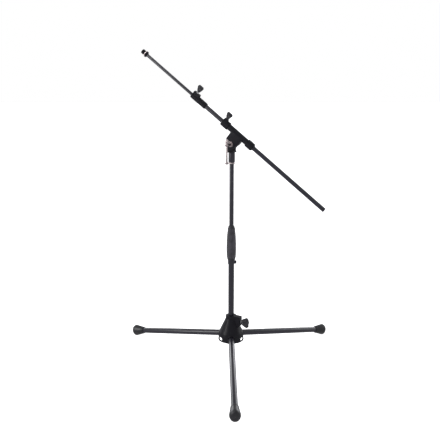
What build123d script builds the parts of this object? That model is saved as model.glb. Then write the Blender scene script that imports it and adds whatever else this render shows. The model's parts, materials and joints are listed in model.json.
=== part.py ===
from build123d import *
from math import atan2, cos, hypot, radians, sin
import os

# A low boom microphone stand, in millimetres.  +Z is up and the column stands on the origin.
# Three legs are pinned inside a bell-shaped hub.  The lower tube slides in the hub, the upper
# tube slides and swivels in the lower one, and a tilting head on top carries the boom.

# ---------------------------------------------------------------- driving dimensions
RUNNING = 0.05             # radial clearance of a piece that turns or slides on another
SEATED = 0.02              # radial clearance of a piece that is fixed on another
GAP = 0.3                  # face clearance between pieces that move past each other

# tripod
LEG_AZIMUTHS = {"front": -90, "right": 30, "left": 150}
LEG_TUBE_R = 10.0
LEG_WALL = 1.2
FOOT_REACH = 410.0         # column axis to the widest ring of a boot
FOOT_HEIGHT = 18.2         # height of that ring's centre
BOOT_R = 19.0
BOOT_WALL = 2.3            # thickness of the boot's neck
BOOT_LENGTH = 47.5
BOOT_NOSE = 12.5           # from the widest ring to the outer end
PIVOT_REACH = 30.0
PIVOT_HEIGHT = 88.0
PIN_R = 3.0
EYE_R = 8.5
KNUCKLE_LENGTH = 12.0
KNUCKLE_SPIGOT = 26.0
EAR_THICKNESS = 4.0

# hub, with heights measured up from its rim or down from its top
HUB_HEIGHT = 89.0
HUB_SKIRT = 17.0           # the pins stand this far above the rim
HUB_WALL = 3.4
HUB_SLEEVE_WALL = 6.0      # of the sleeve that guides the lower tube
COLLAR_WALL = 8.5
COLLAR_DROP = 11.0
CONE_FOOT_R = 41.5
CONE_FOOT_RISE = 29.0
SKIRT_R = 43.5
SKIRT_RISE = 20.0
SLEEVE_RISE = 33.0         # foot of the guiding sleeve
CAVITY_DROP = 21.0
WINDOW_WIDTH = 20.0
WINDOW_HEIGHT = 11.0
WINDOW_RISE = 9.6
HUB_KNOB_AZIMUTH = -30
HUB_KNOB_DROP = 19.0
LUG_REACH = 38.0
LUG_WIDTH = 18.0
LUG_DEPTH = 42.0
LUG_FACE = 32.0            # height of the face that the knob stands off
LUG_SLANT = 10.0           # how far the lug's foot leans back under that face
HUB_SCREW_R = 4.0
HUB_SHOE_R = 5.0
HUB_SHOE_LENGTH = 4.5
HUB_KNOB_STANDOFF = 5.5    # lug face to the wings
HUB_WING_SPAN = 38.0
HUB_WING_WIDTH = 24.0
HUB_WING_THICKNESS = 7.0

# column: the upper tube's size sets the lower tube's
UPPER_R = 7.5
UPPER_WALL = 1.2
UPPER_BOTTOM = 250.0
UPPER_LENGTH = 434.3
UPPER_BUSH_WALL = 1.3
UPPER_BUSH_LENGTH = 20.0
LOWER_WALL = 1.2
LOWER_BOTTOM = 56.0
LOWER_LENGTH = 297.0
STOP_FLANGE = 4.0
STOP_HEIGHT = 6.0

# twist clutch
CLUTCH_SKIRT = 9.0         # how far the collar reaches down over the lower tube
CLUTCH_CROWN = 6.0         # collar above the tube's end
CLUTCH_WALL = 1.7
SPIGOT_WALL = 2.35
SPIGOT_LENGTH = 33.0
CLUTCH_LUG = 4.8           # how far the lug stands out from the collar
CLUTCH_LUG_WIDTH = 8.0
CLUTCH_LUG_HEIGHT = 12.0
CLUTCH_SCREW_R = 2.0
CLUTCH_SCREW_RISE = 6.0    # above the collar's foot
CLUTCH_HEAD_R = 3.2
CLUTCH_HEAD_HEIGHT = 1.8
GRIP_CORE_WALL = 2.0
GRIP_LIP = 1.5             # how far the lip stands out from the core
GRIP_LIP_HEIGHT = 7.0
GRIP_SLEEVE_LENGTH = 100.0
GRIP_CAP_HEIGHT = 10.5
GRIP_CAP_WALL = 2.1
GRIP_WAIST = 3.0           # thickness of the soft sleeve at its foot, belly and shoulder
GRIP_BELLY = 3.9
GRIP_SHOULDER = 1.0
GRIP_BELLY_RISE = 30.0
GRIP_BELLY_LENGTH = 28.0
COLLET_LENGTH = 34.0
COLLET_WALL = 2.55
COLLET_SLIT = 1.6

# head
FLANGE_R = 12.0
FLANGE_HEIGHT = 4.5
TOP_PLUG_LENGTH = 30.0
TOP_THREAD_R = 4.76
TOP_THREAD_LENGTH = 22.0
STEM_CORE_R = 8.0
STEM_SLEEVE_WALL = 2.8
STEM_SLEEVE_LENGTH = 32.7
STEM_SLEEVE_BEVEL = 1.6
STEM_FOOT_HALF = 12.0
STEM_HORN_HALF = 15.4
STEM_HORN_RISE = 14.5
STEM_HALF_DEPTH = 12.0
PIVOT_RISE = 27.0          # sleeve top to the pivot
TONGUE_HALF = 4.5
TONGUE_R = 15.5
TONGUE_FOOT_HALF = 13.6
WASHER_T = 0.9
WASHER_R = 15.0
CHEEK_T = 7.6
CHEEK_R = 17.5
CHEEK_CORNER = 0.7         # where the block's slanting sides meet the round cheek, as a share of it
BLOCK_FRONT = 24.4         # pivot to the front and rear faces of the holder's block
BLOCK_REAR = 20.5
BLOCK_FRONT_RISE = 6.0     # how far above the pivot those faces begin
BLOCK_REAR_RISE = 13.0
HEAD_YAW = -21.7           # the boom's heading about the column, from +X
BOOM_PITCH = 38.3          # how far the rear end hangs below level

# boom, with stations measured along it from the foot of the pivot's perpendicular.  The
# extension rod's size sets the boom tube's, and the boom tube's sets the holder's.
EXT_R = 5.0
EXT_WALL = 1.0
INNER_BUSH_WALL = 1.25
INNER_BUSH_LENGTH = 18.0
BOOM_WALL = 1.0
BOOM_OFFSET = 37.0         # pivot to boom axis
BOOM_FRONT = -178.0
BOOM_REAR = 365.5
BOOM_LINER = 0.85
HOLDER_WALL = 2.05
HOLDER_FRONT = -56.0
HOLDER_REAR = 64.5
FORK_FLOOR = 20.0          # boom axis to the bottom of the fork's slot
RING_WALL = 3.0
FRONT_RING_OVERHANG = 13.6
FRONT_RING_LENGTH = 27.6
REAR_RING_INSET = 3.2
REAR_RING_LENGTH = 24.3
REAR_BUSH_LENGTH = 34.0
REAR_PLUG_DEPTH = 9.0
REAR_PLUG_INSET = 1.2
KNOB_ROLL = 15.0           # the knobs lean this far from the boom's vertical plane
BOOM_KNOB_STATION = -61.5
BOOM_KNOB_STANDOFF = 4.5
BOOM_BOSS = (14.0, 11.0)   # along the boom, across it
BOOM_BOSS_RISE = 3.75      # how far the boss stands out from its ring
EXT_CLAMP_OVERHANG = 27.7
EXT_CLAMP_LENGTH = 62.3
EXT_CLAMP_WALL = 2.95
EXT_KNOB_INSET = 14.2
EXT_KNOB_STANDOFF = 9.5
EXT_BOSS = (26.0, 10.0)
EXT_BOSS_RISE = 6.3
SMALL_SCREW_R = 2.5
WING_SPAN = 22.0
WING_WIDTH = 20.0
WING_THICKNESS = 6.0
WING_ROOT = 0.28           # half widths of the wings at their root and tip, as shares of the span
WING_TIP = 0.36
WING_WIDEST = 0.72         # where the wings are widest, as a share of their width
WING_EDGE = 0.28           # rounding of their edges, as a share of their thickness
WING_COLLAR = 0.8          # length of the round collar, as a share of the wings' width
KNOB_COLLAR_WALL = 2.8
KNOB_COLLAR_LEAD = 2.5     # how far the collar stands out towards the screw
KNOB_SCREW_BITE = 0.1      # how far past the middle the screw's hole goes, as a share of the width

# extension rod
EXT_FRONT = -412.0
EXT_LENGTH = 460.0
EXT_BUSH_LENGTH = 22.0
TIP_FLANGE_R = 10.0
TIP_FLANGE_LENGTH = 3.6
TIP_NECK_WALL = 1.4
TIP_NECK_LENGTH = 2.4
TIP_PLUG_LENGTH = 20.0
LOCK_RING_R = 9.9
LOCK_RING_LENGTH = 3.6
TIP_STUD_R = 7.94          # 5/8 inch microphone thread
TIP_RELIEF = 0.6           # undercut behind the thread, where the lock ring rests
TIP_THREAD_LENGTH = 12.8

# clamp screw and its sliding bar
SCREW_R = 5.0
SCREW_TAIL = 1.9           # how far the screw stands out of its nut
SCREW_HEAD = 6.0           # from the bar to the screw's end
CLAMP_WASHER_R = 9.0
CLAMP_WASHER_T = 2.0
CLAMP_RING_R = 7.2
CLAMP_RING_T = 3.2
NUT_R = 9.0
NUT_T = 7.5
BAR_R = 2.75
BAR_STANDOFF = 32.9        # cheek to the bar
BAR_TOP_CAP_R = 5.4
BAR_TOP_CAP_HEIGHT = 14.0
BAR_BOTTOM_CAP_R = 6.0
BAR_BOTTOM_CAP_HEIGHT = 7.2
BAR_DROP = 54.5            # screw axis down to the bottom cap
BAR_SEAT = 0.6             # share of each cap's height that the bar enters
BAR_REST = 0.4             # top cap above the screw, when the bar hangs

# ---------------------------------------------------------------- what follows from them
LEG_RUN = FOOT_REACH - PIVOT_REACH
LEG_FALL = PIVOT_HEIGHT - FOOT_HEIGHT
LEG_SLOPE = atan2(LEG_FALL, LEG_RUN)
LEG_LENGTH = hypot(LEG_RUN, LEG_FALL)
BOOT_NECK_R = LEG_TUBE_R + BOOT_WALL
EYE_WIDTH = 2 * (LEG_TUBE_R + GAP)
EAR_INSIDE = EYE_WIDTH / 2 + GAP
EAR_OUTSIDE = EAR_INSIDE + EAR_THICKNESS
ARCH_R = max(LEG_TUBE_R + 0.8, EAR_INSIDE)
ARCH_REACH = SKIRT_R - HUB_WALL / 2
ARCH_CENTRE_Z = PIVOT_HEIGHT - (ARCH_REACH - PIVOT_REACH) * sin(LEG_SLOPE) / cos(LEG_SLOPE) - 0.1
HUB_RIM = PIVOT_HEIGHT - HUB_SKIRT
HUB_TOP = HUB_RIM + HUB_HEIGHT
CONE_FOOT_Z = HUB_RIM + CONE_FOOT_RISE
SKIRT_Z = HUB_RIM + SKIRT_RISE
BOSS_BOTTOM = HUB_RIM + SLEEVE_RISE
WINDOW_Z = HUB_RIM + WINDOW_RISE
HUB_KNOB_Z = HUB_TOP - HUB_KNOB_DROP
LUG_FOOT = HUB_TOP - LUG_DEPTH
HUB_KNOB_CENTRE = LUG_REACH + HUB_KNOB_STANDOFF + HUB_WING_WIDTH / 2
LOWER_BORE_R = UPPER_R + UPPER_BUSH_WALL
LOWER_R = LOWER_BORE_R + LOWER_WALL
STOP_R = LOWER_R + STOP_FLANGE
BOSS_R = LOWER_R + HUB_SLEEVE_WALL
COLLAR_R = LOWER_R + COLLAR_WALL
HUB_BORE_R = LOWER_R + RUNNING
HUB_SHOE_FACE = HUB_BORE_R + RUNNING
HUB_SCREW_TIP = HUB_SHOE_FACE + HUB_SHOE_LENGTH
UPPER_BORE_R = UPPER_R - UPPER_WALL
UPPER_TOP = UPPER_BOTTOM + UPPER_LENGTH
CLUTCH_SEAT = LOWER_BOTTOM + LOWER_LENGTH
CLUTCH_BOTTOM = CLUTCH_SEAT - CLUTCH_SKIRT
CLUTCH_TOP = CLUTCH_SEAT + CLUTCH_CROWN
CLUTCH_R = LOWER_R + CLUTCH_WALL
CLUTCH_BORE_R = UPPER_R + RUNNING
CLUTCH_LUG_REACH = CLUTCH_R + CLUTCH_LUG
CLUTCH_SCREW_Z = CLUTCH_BOTTOM + CLUTCH_SCREW_RISE
SPIGOT_R = CLUTCH_BORE_R + GAP + SPIGOT_WALL
SPIGOT_TOP = CLUTCH_TOP + SPIGOT_LENGTH
COLLET_R = CLUTCH_BORE_R + COLLET_WALL
GRIP_CORE_R = max(SPIGOT_R + GRIP_CORE_WALL, COLLET_R + GAP + GRIP_CORE_WALL - 0.2)
GRIP_LIP_R = GRIP_CORE_R + GRIP_LIP
GRIP_LIP_TOP = CLUTCH_TOP + GRIP_LIP_HEIGHT
GRIP_CAP_R = UPPER_R + GRIP_CAP_WALL
GRIP_SHOULDER_Z = GRIP_LIP_TOP + GRIP_SLEEVE_LENGTH
GRIP_TOP = GRIP_SHOULDER_Z + GRIP_CAP_HEIGHT
GRIP_WAIST_R = GRIP_CORE_R + GRIP_WAIST
GRIP_BELLY_R = GRIP_CORE_R + GRIP_BELLY
GRIP_SHOULDER_R = GRIP_CORE_R + GRIP_SHOULDER
SLEEVE_R = STEM_CORE_R + STEM_SLEEVE_WALL
SLEEVE_BOTTOM = UPPER_TOP + FLANGE_HEIGHT
SLEEVE_TOP = SLEEVE_BOTTOM + STEM_SLEEVE_LENGTH
STEM_HORN_Z = SLEEVE_TOP + STEM_HORN_RISE
PIVOT_Z = SLEEVE_TOP + PIVOT_RISE
FORK_HALF = TONGUE_HALF + WASHER_T + 2 * RUNNING
CHEEK_OUT = FORK_HALF + CHEEK_T
BLOCK_SWEEP_R = max(hypot(BLOCK_FRONT, BLOCK_FRONT_RISE), hypot(BLOCK_REAR, BLOCK_REAR_RISE)) + GAP
BOOM_BORE_R = EXT_R + INNER_BUSH_WALL
BOOM_R = BOOM_BORE_R + BOOM_WALL
LINER_BORE_R = BOOM_R + RUNNING
LINER_R = LINER_BORE_R + BOOM_LINER
HOLDER_BORE_R = LINER_R + RUNNING
HOLDER_R = HOLDER_BORE_R + HOLDER_WALL
RING_R = HOLDER_R + RING_WALL
FRONT_RING = (HOLDER_FRONT - FRONT_RING_OVERHANG, HOLDER_FRONT - FRONT_RING_OVERHANG + FRONT_RING_LENGTH)
REAR_RING = (HOLDER_REAR - REAR_RING_INSET - REAR_RING_LENGTH, HOLDER_REAR - REAR_RING_INSET)
BOOM_BOSS_REACH = RING_R + BOOM_BOSS_RISE
BOOM_KNOB_CENTRE = BOOM_BOSS_REACH + BOOM_KNOB_STANDOFF + WING_WIDTH / 2
EXT_CLAMP_FRONT = BOOM_FRONT - EXT_CLAMP_OVERHANG
EXT_CLAMP_REAR = EXT_CLAMP_FRONT + EXT_CLAMP_LENGTH
EXT_CLAMP_R = BOOM_R + EXT_CLAMP_WALL
EXT_BOSS_REACH = EXT_CLAMP_R + EXT_BOSS_RISE
EXT_KNOB_STATION = EXT_CLAMP_FRONT + EXT_KNOB_INSET
EXT_KNOB_CENTRE = EXT_BOSS_REACH + EXT_KNOB_STANDOFF + WING_WIDTH / 2
EXT_LINER_BORE_R = EXT_R + RUNNING
EXT_LINER_R = BOOM_R
EXT_BORE_R = EXT_R - EXT_WALL
BAR_STATION = CHEEK_OUT + BAR_STANDOFF
SCREW_HEAD_END = BAR_STATION + SCREW_HEAD
SCREW_TAIL_END = -CHEEK_OUT - NUT_T - SCREW_TAIL

YAW = radians(HEAD_YAW)
PITCH = radians(BOOM_PITCH)
HEADING = Vector(cos(YAW), sin(YAW), 0)
TO_SCREW = Vector(sin(YAW), -cos(YAW), 0)
ALONG = HEADING * cos(PITCH) - Vector(0, 0, sin(PITCH))
RISE = HEADING * sin(PITCH) + Vector(0, 0, cos(PITCH))
PIVOT = Vector(0, 0, PIVOT_Z)
HEAD = Plane(PIVOT, x_dir=HEADING, z_dir=TO_SCREW)
BOOM = Plane(PIVOT + RISE * BOOM_OFFSET, x_dir=ALONG, z_dir=TO_SCREW)
BOOM_AXIS = Axis(BOOM.origin, ALONG)
SCREW_AXIS = Axis(PIVOT, TO_SCREW)


def across_boom(station):
    """The plane square to the boom at a station, facing its rear end, with x straight up."""
    return Plane(BOOM.origin + ALONG * station, x_dir=RISE, z_dir=ALONG)


def upright(azimuth, origin=(0, 0, 0)):
    """The upright plane through the column: x runs outwards at the azimuth and y runs up."""
    turn = radians(azimuth)
    return Plane(origin, x_dir=(cos(turn), sin(turn), 0), z_dir=(sin(turn), -cos(turn), 0))


def outward(azimuth, reach, height=0):
    """The plane that faces outwards at an azimuth: its y runs up."""
    turn = radians(azimuth)
    return Plane(
        (reach * cos(turn), reach * sin(turn), height),
        x_dir=(-sin(turn), cos(turn), 0),
        z_dir=(cos(turn), sin(turn), 0),
    )


def along_leg(azimuth):
    """The upright plane of a leg: x runs down the leg from its pin."""
    turn = radians(azimuth)
    pin = Vector(PIVOT_REACH * cos(turn), PIVOT_REACH * sin(turn), PIVOT_HEIGHT)
    down = Vector(cos(LEG_SLOPE) * cos(turn), cos(LEG_SLOPE) * sin(turn), -sin(LEG_SLOPE))
    return Plane(pin, x_dir=down, z_dir=(sin(turn), -cos(turn), 0))


def end_on(plane, distance=0):
    """The plane square to another plane's x, at a distance along it: its x is the other's y."""
    return Plane(plane.origin + plane.x_dir * distance, x_dir=plane.y_dir, z_dir=plane.x_dir)


def keep(piece, name):
    """Names a finished piece and writes it to its own file."""
    piece.part.label = name
    export_step(piece.part, f"parts/{name}.step")


def wing_knob(screw_plane, centre, span, width, thickness, screw_r):
    """A wing knob: a rounded paddle across the screw, on a round collar.

    In screw_plane x runs out along the screw and y lies across the wings.
    """
    inner = centre - width / 2
    widest = inner + WING_WIDEST * width
    collar_r = screw_r + KNOB_COLLAR_WALL
    collar_length = WING_COLLAR * width
    with BuildPart() as knob:
        with BuildSketch(screw_plane):
            with BuildLine():
                FilletPolyline(
                    (inner, -WING_ROOT * span),
                    (widest, -span / 2),
                    (inner + width, -WING_TIP * span),
                    (inner + width, WING_TIP * span),
                    (widest, span / 2),
                    (inner, WING_ROOT * span),
                    close=True,
                    radius=span / 10,
                )
            make_face()
        extrude(amount=thickness / 2, both=True)
        faces = knob.faces().sort_by(Axis(screw_plane.origin, screw_plane.z_dir))
        fillet(faces[0].edges() + faces[-1].edges(), WING_EDGE * thickness)
        with BuildSketch(screw_plane):
            with Locations((inner - KNOB_COLLAR_LEAD + collar_length / 2, collar_r / 2)):
                Rectangle(collar_length, collar_r)
        revolve(axis=Axis(screw_plane.origin, screw_plane.x_dir))
        with BuildSketch(end_on(screw_plane)):
            Circle(screw_r + SEATED)
        extrude(amount=centre + KNOB_SCREW_BITE * width, mode=Mode.SUBTRACT)
    return knob


def screw(plane, radius, start, end):
    """A plain screw shank along the plane's x, from start to end, with chamfered tips."""
    with BuildPart() as shank:
        with BuildSketch(end_on(plane, start)):
            Circle(radius)
        extrude(amount=end - start)
        chamfer(shank.edges().filter_by(GeomType.CIRCLE), 0.15 * radius)
    return shank


os.makedirs("parts", exist_ok=True)

# ---------------------------------------------------------------- hub
hub_screw_plane = upright(HUB_KNOB_AZIMUTH, (0, 0, HUB_KNOB_Z))
cone_lean = atan2(CONE_FOOT_R - COLLAR_R, HUB_TOP - COLLAR_DROP - CONE_FOOT_Z)
inner_foot_r = CONE_FOOT_R - HUB_WALL * cos(cone_lean)
inner_foot_z = CONE_FOOT_Z - HUB_WALL * sin(cone_lean)
cavity_top_z = HUB_TOP - CAVITY_DROP
cavity_top_r = inner_foot_r - (cavity_top_z - inner_foot_z) * sin(cone_lean) / cos(cone_lean)
with BuildPart() as base_hub:
    with BuildSketch(Plane.XZ):
        with BuildLine():
            FilletPolyline(
                (HUB_BORE_R, HUB_TOP),
                (COLLAR_R, HUB_TOP),
                (COLLAR_R, HUB_TOP - COLLAR_DROP),
                (CONE_FOOT_R, CONE_FOOT_Z),
                (SKIRT_R, SKIRT_Z),
                (SKIRT_R, HUB_RIM),
                radius=1.5,
            )
            Polyline(
                (SKIRT_R, HUB_RIM),
                (SKIRT_R - HUB_WALL, HUB_RIM),
                (SKIRT_R - HUB_WALL, SKIRT_Z - 1),
                (inner_foot_r, inner_foot_z),
                (max(cavity_top_r, BOSS_R + 1), cavity_top_z),
                (BOSS_R, cavity_top_z),
                (BOSS_R, BOSS_BOTTOM),
                (HUB_BORE_R, BOSS_BOTTOM),
                (HUB_BORE_R, HUB_TOP),
            )
        make_face()
    revolve(axis=Axis.Z)
    with BuildSketch(upright(HUB_KNOB_AZIMUTH)):
        with BuildLine():
            Polyline(
                (COLLAR_R - 6, HUB_TOP),
                (LUG_REACH, HUB_TOP),
                (LUG_REACH, HUB_TOP - LUG_FACE),
                (LUG_REACH - LUG_SLANT, LUG_FOOT),
                (COLLAR_R - 6, LUG_FOOT),
                close=True,
            )
        make_face()
    extrude(amount=LUG_WIDTH / 2, both=True)
    for azimuth in LEG_AZIMUTHS.values():
        for side in (-EAR_OUTSIDE, EAR_INSIDE):
            with BuildSketch(upright(azimuth).offset(side)):
                with BuildLine():
                    Polyline(
                        (BOSS_R - 1, HUB_RIM + 6),
                        (SKIRT_R - HUB_WALL - 1.6, HUB_RIM + 6),
                        (SKIRT_R - HUB_WALL - 1.6, CONE_FOOT_Z - 4),
                        (cavity_top_r + 3, cavity_top_z - 13),
                        (BOSS_R - 1, cavity_top_z - 13),
                        close=True,
                    )
                make_face()
            extrude(amount=EAR_THICKNESS)
    with BuildSketch(Plane.XY.offset(HUB_RIM)):
        Circle(HUB_BORE_R)
    extrude(amount=HUB_TOP - HUB_RIM, mode=Mode.SUBTRACT)
    for azimuth in LEG_AZIMUTHS.values():
        with BuildSketch(outward(azimuth, PIVOT_REACH)):
            with Locations((0, ARCH_CENTRE_Z)):
                Circle(ARCH_R)
            with Locations((0, (ARCH_CENTRE_Z + HUB_RIM - 2) / 2)):
                Rectangle(2 * ARCH_R, ARCH_CENTRE_Z - HUB_RIM + 2)
        extrude(amount=SKIRT_R, mode=Mode.SUBTRACT)
        with BuildSketch(upright(azimuth).offset(-EAR_OUTSIDE - 1)):
            with Locations((PIVOT_REACH, PIVOT_HEIGHT)):
                Circle(PIN_R + SEATED)
        extrude(amount=2 * EAR_OUTSIDE + 2, mode=Mode.SUBTRACT)
        with BuildSketch(outward(azimuth + 60, SKIRT_R - 3 * HUB_WALL, WINDOW_Z)):
            SlotOverall(WINDOW_WIDTH, WINDOW_HEIGHT)
        extrude(amount=4 * HUB_WALL, mode=Mode.SUBTRACT)
    with BuildSketch(outward(HUB_KNOB_AZIMUTH, 0, HUB_KNOB_Z)):
        Circle(HUB_SHOE_R + RUNNING)
    extrude(amount=HUB_SCREW_TIP + 0.8, mode=Mode.SUBTRACT)
    with BuildSketch(outward(HUB_KNOB_AZIMUTH, 0, HUB_KNOB_Z)):
        Circle(HUB_SCREW_R + RUNNING)
    extrude(amount=LUG_REACH + 5, mode=Mode.SUBTRACT)
keep(base_hub, "base_hub")

with BuildPart() as leg_pivot_pins:
    for azimuth in LEG_AZIMUTHS.values():
        with BuildSketch(upright(azimuth).offset(-EAR_OUTSIDE)):
            with Locations((PIVOT_REACH, PIVOT_HEIGHT)):
                Circle(PIN_R)
        extrude(amount=2 * EAR_OUTSIDE)
keep(leg_pivot_pins, "leg_pivot_pins")

with BuildPart() as hub_clamp_shoe:
    with BuildSketch(outward(HUB_KNOB_AZIMUTH, 0, HUB_KNOB_Z)):
        Circle(HUB_SHOE_R)
    extrude(amount=HUB_SCREW_TIP - RUNNING)
    with BuildSketch(Plane.XY.offset(HUB_KNOB_Z - 2 * HUB_SHOE_R)):
        Circle(HUB_SHOE_FACE)
    extrude(amount=4 * HUB_SHOE_R, mode=Mode.SUBTRACT)
keep(hub_clamp_shoe, "hub_clamp_shoe")

hub_knob = wing_knob(
    hub_screw_plane, HUB_KNOB_CENTRE, HUB_WING_SPAN, HUB_WING_WIDTH, HUB_WING_THICKNESS, HUB_SCREW_R
)
keep(hub_knob, "hub_knob")
hub_knob_screw = screw(hub_screw_plane, HUB_SCREW_R, HUB_SCREW_TIP, HUB_KNOB_CENTRE)
keep(hub_knob_screw, "hub_knob_screw")

# ---------------------------------------------------------------- legs
for leg, azimuth in LEG_AZIMUTHS.items():
    leg_plane = along_leg(azimuth)
    section = Plane(leg_plane.origin, x_dir=leg_plane.z_dir, z_dir=leg_plane.x_dir)

    with BuildPart() as leg_knuckle:
        with BuildSketch(leg_plane):
            Circle(EYE_R)
        extrude(amount=EYE_WIDTH / 2, both=True)
        with BuildSketch(section):
            Circle(LEG_TUBE_R - 0.1)
        extrude(amount=KNUCKLE_LENGTH - SEATED)
        with BuildSketch(section.offset(KNUCKLE_LENGTH - SEATED)):
            Circle(LEG_TUBE_R - LEG_WALL - SEATED)
        extrude(amount=KNUCKLE_SPIGOT)
        with BuildSketch(leg_plane):
            Circle(PIN_R + RUNNING)
        extrude(amount=EYE_WIDTH, both=True, mode=Mode.SUBTRACT)
    keep(leg_knuckle, f"leg_{leg}_knuckle")

    with BuildPart() as leg_tube:
        with BuildSketch(section.offset(KNUCKLE_LENGTH)):
            Circle(LEG_TUBE_R)
            Circle(LEG_TUBE_R - LEG_WALL, mode=Mode.SUBTRACT)
        extrude(amount=LEG_LENGTH - KNUCKLE_LENGTH)
    keep(leg_tube, f"leg_{leg}_tube")

    boot_start = LEG_LENGTH + BOOT_NOSE - BOOT_LENGTH
    with BuildPart() as leg_boot:
        with BuildSketch(leg_plane):
            with BuildLine():
                Polyline((boot_start, 0), (boot_start, BOOT_NECK_R), (LEG_LENGTH, BOOT_R))
                CenterArc((LEG_LENGTH, BOOT_R - BOOT_NOSE), BOOT_NOSE, 0, 90)
                Polyline(
                    (LEG_LENGTH + BOOT_NOSE, BOOT_R - BOOT_NOSE),
                    (LEG_LENGTH + BOOT_NOSE, 0),
                    (boot_start, 0),
                )
            make_face()
        revolve(axis=Axis(leg_plane.origin, leg_plane.x_dir))
        with BuildSketch(section.offset(boot_start)):
            Circle(LEG_TUBE_R + SEATED)
        extrude(amount=LEG_LENGTH - boot_start + SEATED, mode=Mode.SUBTRACT)
        split(bisect_by=Plane.XY, keep=Keep.TOP)
    keep(leg_boot, f"leg_{leg}_boot")

# ---------------------------------------------------------------- lower column
with BuildPart() as lower_tube:
    with BuildSketch(Plane.XY.offset(LOWER_BOTTOM)):
        Circle(LOWER_R)
        Circle(LOWER_BORE_R, mode=Mode.SUBTRACT)
    extrude(amount=CLUTCH_SEAT - LOWER_BOTTOM)
keep(lower_tube, "lower_tube")

with BuildPart() as lower_stop_ring:
    with BuildSketch(Plane.XY.offset(LOWER_BOTTOM)):
        Circle(STOP_R)
        Circle(LOWER_R + SEATED, mode=Mode.SUBTRACT)
    extrude(amount=STOP_HEIGHT)
    chamfer(lower_stop_ring.edges().filter_by(GeomType.CIRCLE).sort_by(SortBy.RADIUS)[-2:], 1)
keep(lower_stop_ring, "lower_stop_ring")

clutch_plane = outward(0, 0, CLUTCH_SCREW_Z)
with BuildPart() as clutch_collar:
    with BuildSketch(Plane.XY.offset(CLUTCH_BOTTOM)):
        Circle(CLUTCH_R)
    extrude(amount=CLUTCH_TOP - CLUTCH_BOTTOM)
    with BuildSketch(clutch_plane):
        SlotOverall(CLUTCH_LUG_HEIGHT, CLUTCH_LUG_WIDTH, rotation=90)
    extrude(amount=CLUTCH_LUG_REACH)
    with BuildSketch(Plane.XY.offset(CLUTCH_TOP)):
        Circle(SPIGOT_R)
    extrude(amount=SPIGOT_TOP - CLUTCH_TOP)
    with BuildSketch(Plane.XY.offset(CLUTCH_BOTTOM)):
        Circle(LOWER_R + SEATED)
    extrude(amount=CLUTCH_SEAT - CLUTCH_BOTTOM, mode=Mode.SUBTRACT)
    with BuildSketch(Plane.XY.offset(CLUTCH_BOTTOM)):
        Circle(CLUTCH_BORE_R + GAP)
    extrude(amount=SPIGOT_TOP - CLUTCH_BOTTOM, mode=Mode.SUBTRACT)
    with BuildSketch(clutch_plane):
        Circle(CLUTCH_SCREW_R + SEATED)
    extrude(amount=CLUTCH_LUG_REACH, mode=Mode.SUBTRACT)
keep(clutch_collar, "clutch_collar")

with BuildPart() as clutch_collar_screw:
    with BuildSketch(outward(0, LOWER_R + SEATED, CLUTCH_SCREW_Z)):
        Circle(CLUTCH_SCREW_R)
    extrude(amount=CLUTCH_LUG_REACH - LOWER_R - SEATED)
    with BuildSketch(outward(0, CLUTCH_LUG_REACH, CLUTCH_SCREW_Z)):
        Circle(CLUTCH_HEAD_R)
    extrude(amount=CLUTCH_HEAD_HEIGHT)
keep(clutch_collar_screw, "clutch_collar_screw")

# ---------------------------------------------------------------- twist grip
collet_bottom = SPIGOT_TOP + GAP
collet_top = collet_bottom + COLLET_LENGTH
with BuildPart() as grip_core:
    with BuildSketch(Plane.XZ):
        with BuildLine():
            Polyline(
                (SPIGOT_R + RUNNING, CLUTCH_TOP + GAP),
                (GRIP_LIP_R, CLUTCH_TOP + GAP),
                (GRIP_LIP_R, GRIP_LIP_TOP),
                (GRIP_CORE_R, GRIP_LIP_TOP),
                (GRIP_CORE_R, GRIP_SHOULDER_Z),
                (GRIP_CAP_R, GRIP_TOP),
                (UPPER_R + GAP, GRIP_TOP),
                (UPPER_R + GAP, collet_top + 8),
                (COLLET_R + GAP, collet_top + GAP),
                (COLLET_R + GAP, collet_bottom),
                (SPIGOT_R + RUNNING, collet_bottom),
                close=True,
            )
        make_face()
    revolve(axis=Axis.Z)
keep(grip_core, "grip_core")

with BuildPart() as grip_sleeve:
    with BuildSketch(Plane.XZ):
        with BuildLine():
            Line((GRIP_CORE_R + SEATED, GRIP_LIP_TOP + SEATED), (GRIP_WAIST_R, GRIP_LIP_TOP + SEATED))
            Spline(
                (GRIP_WAIST_R, GRIP_LIP_TOP + SEATED),
                (GRIP_BELLY_R, GRIP_LIP_TOP + GRIP_BELLY_RISE),
                (GRIP_BELLY_R, GRIP_LIP_TOP + GRIP_BELLY_RISE + GRIP_BELLY_LENGTH),
                (GRIP_SHOULDER_R + 0.6, GRIP_SHOULDER_Z - 2),
            )
            Line((GRIP_SHOULDER_R + 0.6, GRIP_SHOULDER_Z - 2), (GRIP_CORE_R + SEATED, GRIP_SHOULDER_Z))
            Line((GRIP_CORE_R + SEATED, GRIP_SHOULDER_Z), (GRIP_CORE_R + SEATED, GRIP_LIP_TOP + SEATED))
        make_face()
    revolve(axis=Axis.Z)
keep(grip_sleeve, "grip_sleeve")

with BuildPart() as clutch_collet:
    with BuildSketch(Plane.XY.offset(collet_bottom)):
        Circle(COLLET_R)
        Circle(CLUTCH_BORE_R, mode=Mode.SUBTRACT)
    extrude(amount=COLLET_LENGTH)
    with BuildSketch(Plane.XY.offset(collet_bottom + COLLET_LENGTH / 4)):
        with Locations((COLLET_R, 0)):
            Rectangle(2 * COLLET_R, COLLET_SLIT)
    extrude(amount=COLLET_LENGTH, mode=Mode.SUBTRACT)
keep(clutch_collet, "clutch_collet")

# ---------------------------------------------------------------- upper column
with BuildPart() as upper_tube:
    with BuildSketch(Plane.XY.offset(UPPER_BOTTOM)):
        Circle(UPPER_R)
        Circle(UPPER_BORE_R, mode=Mode.SUBTRACT)
    extrude(amount=UPPER_TOP - UPPER_BOTTOM)
keep(upper_tube, "upper_tube")

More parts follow.
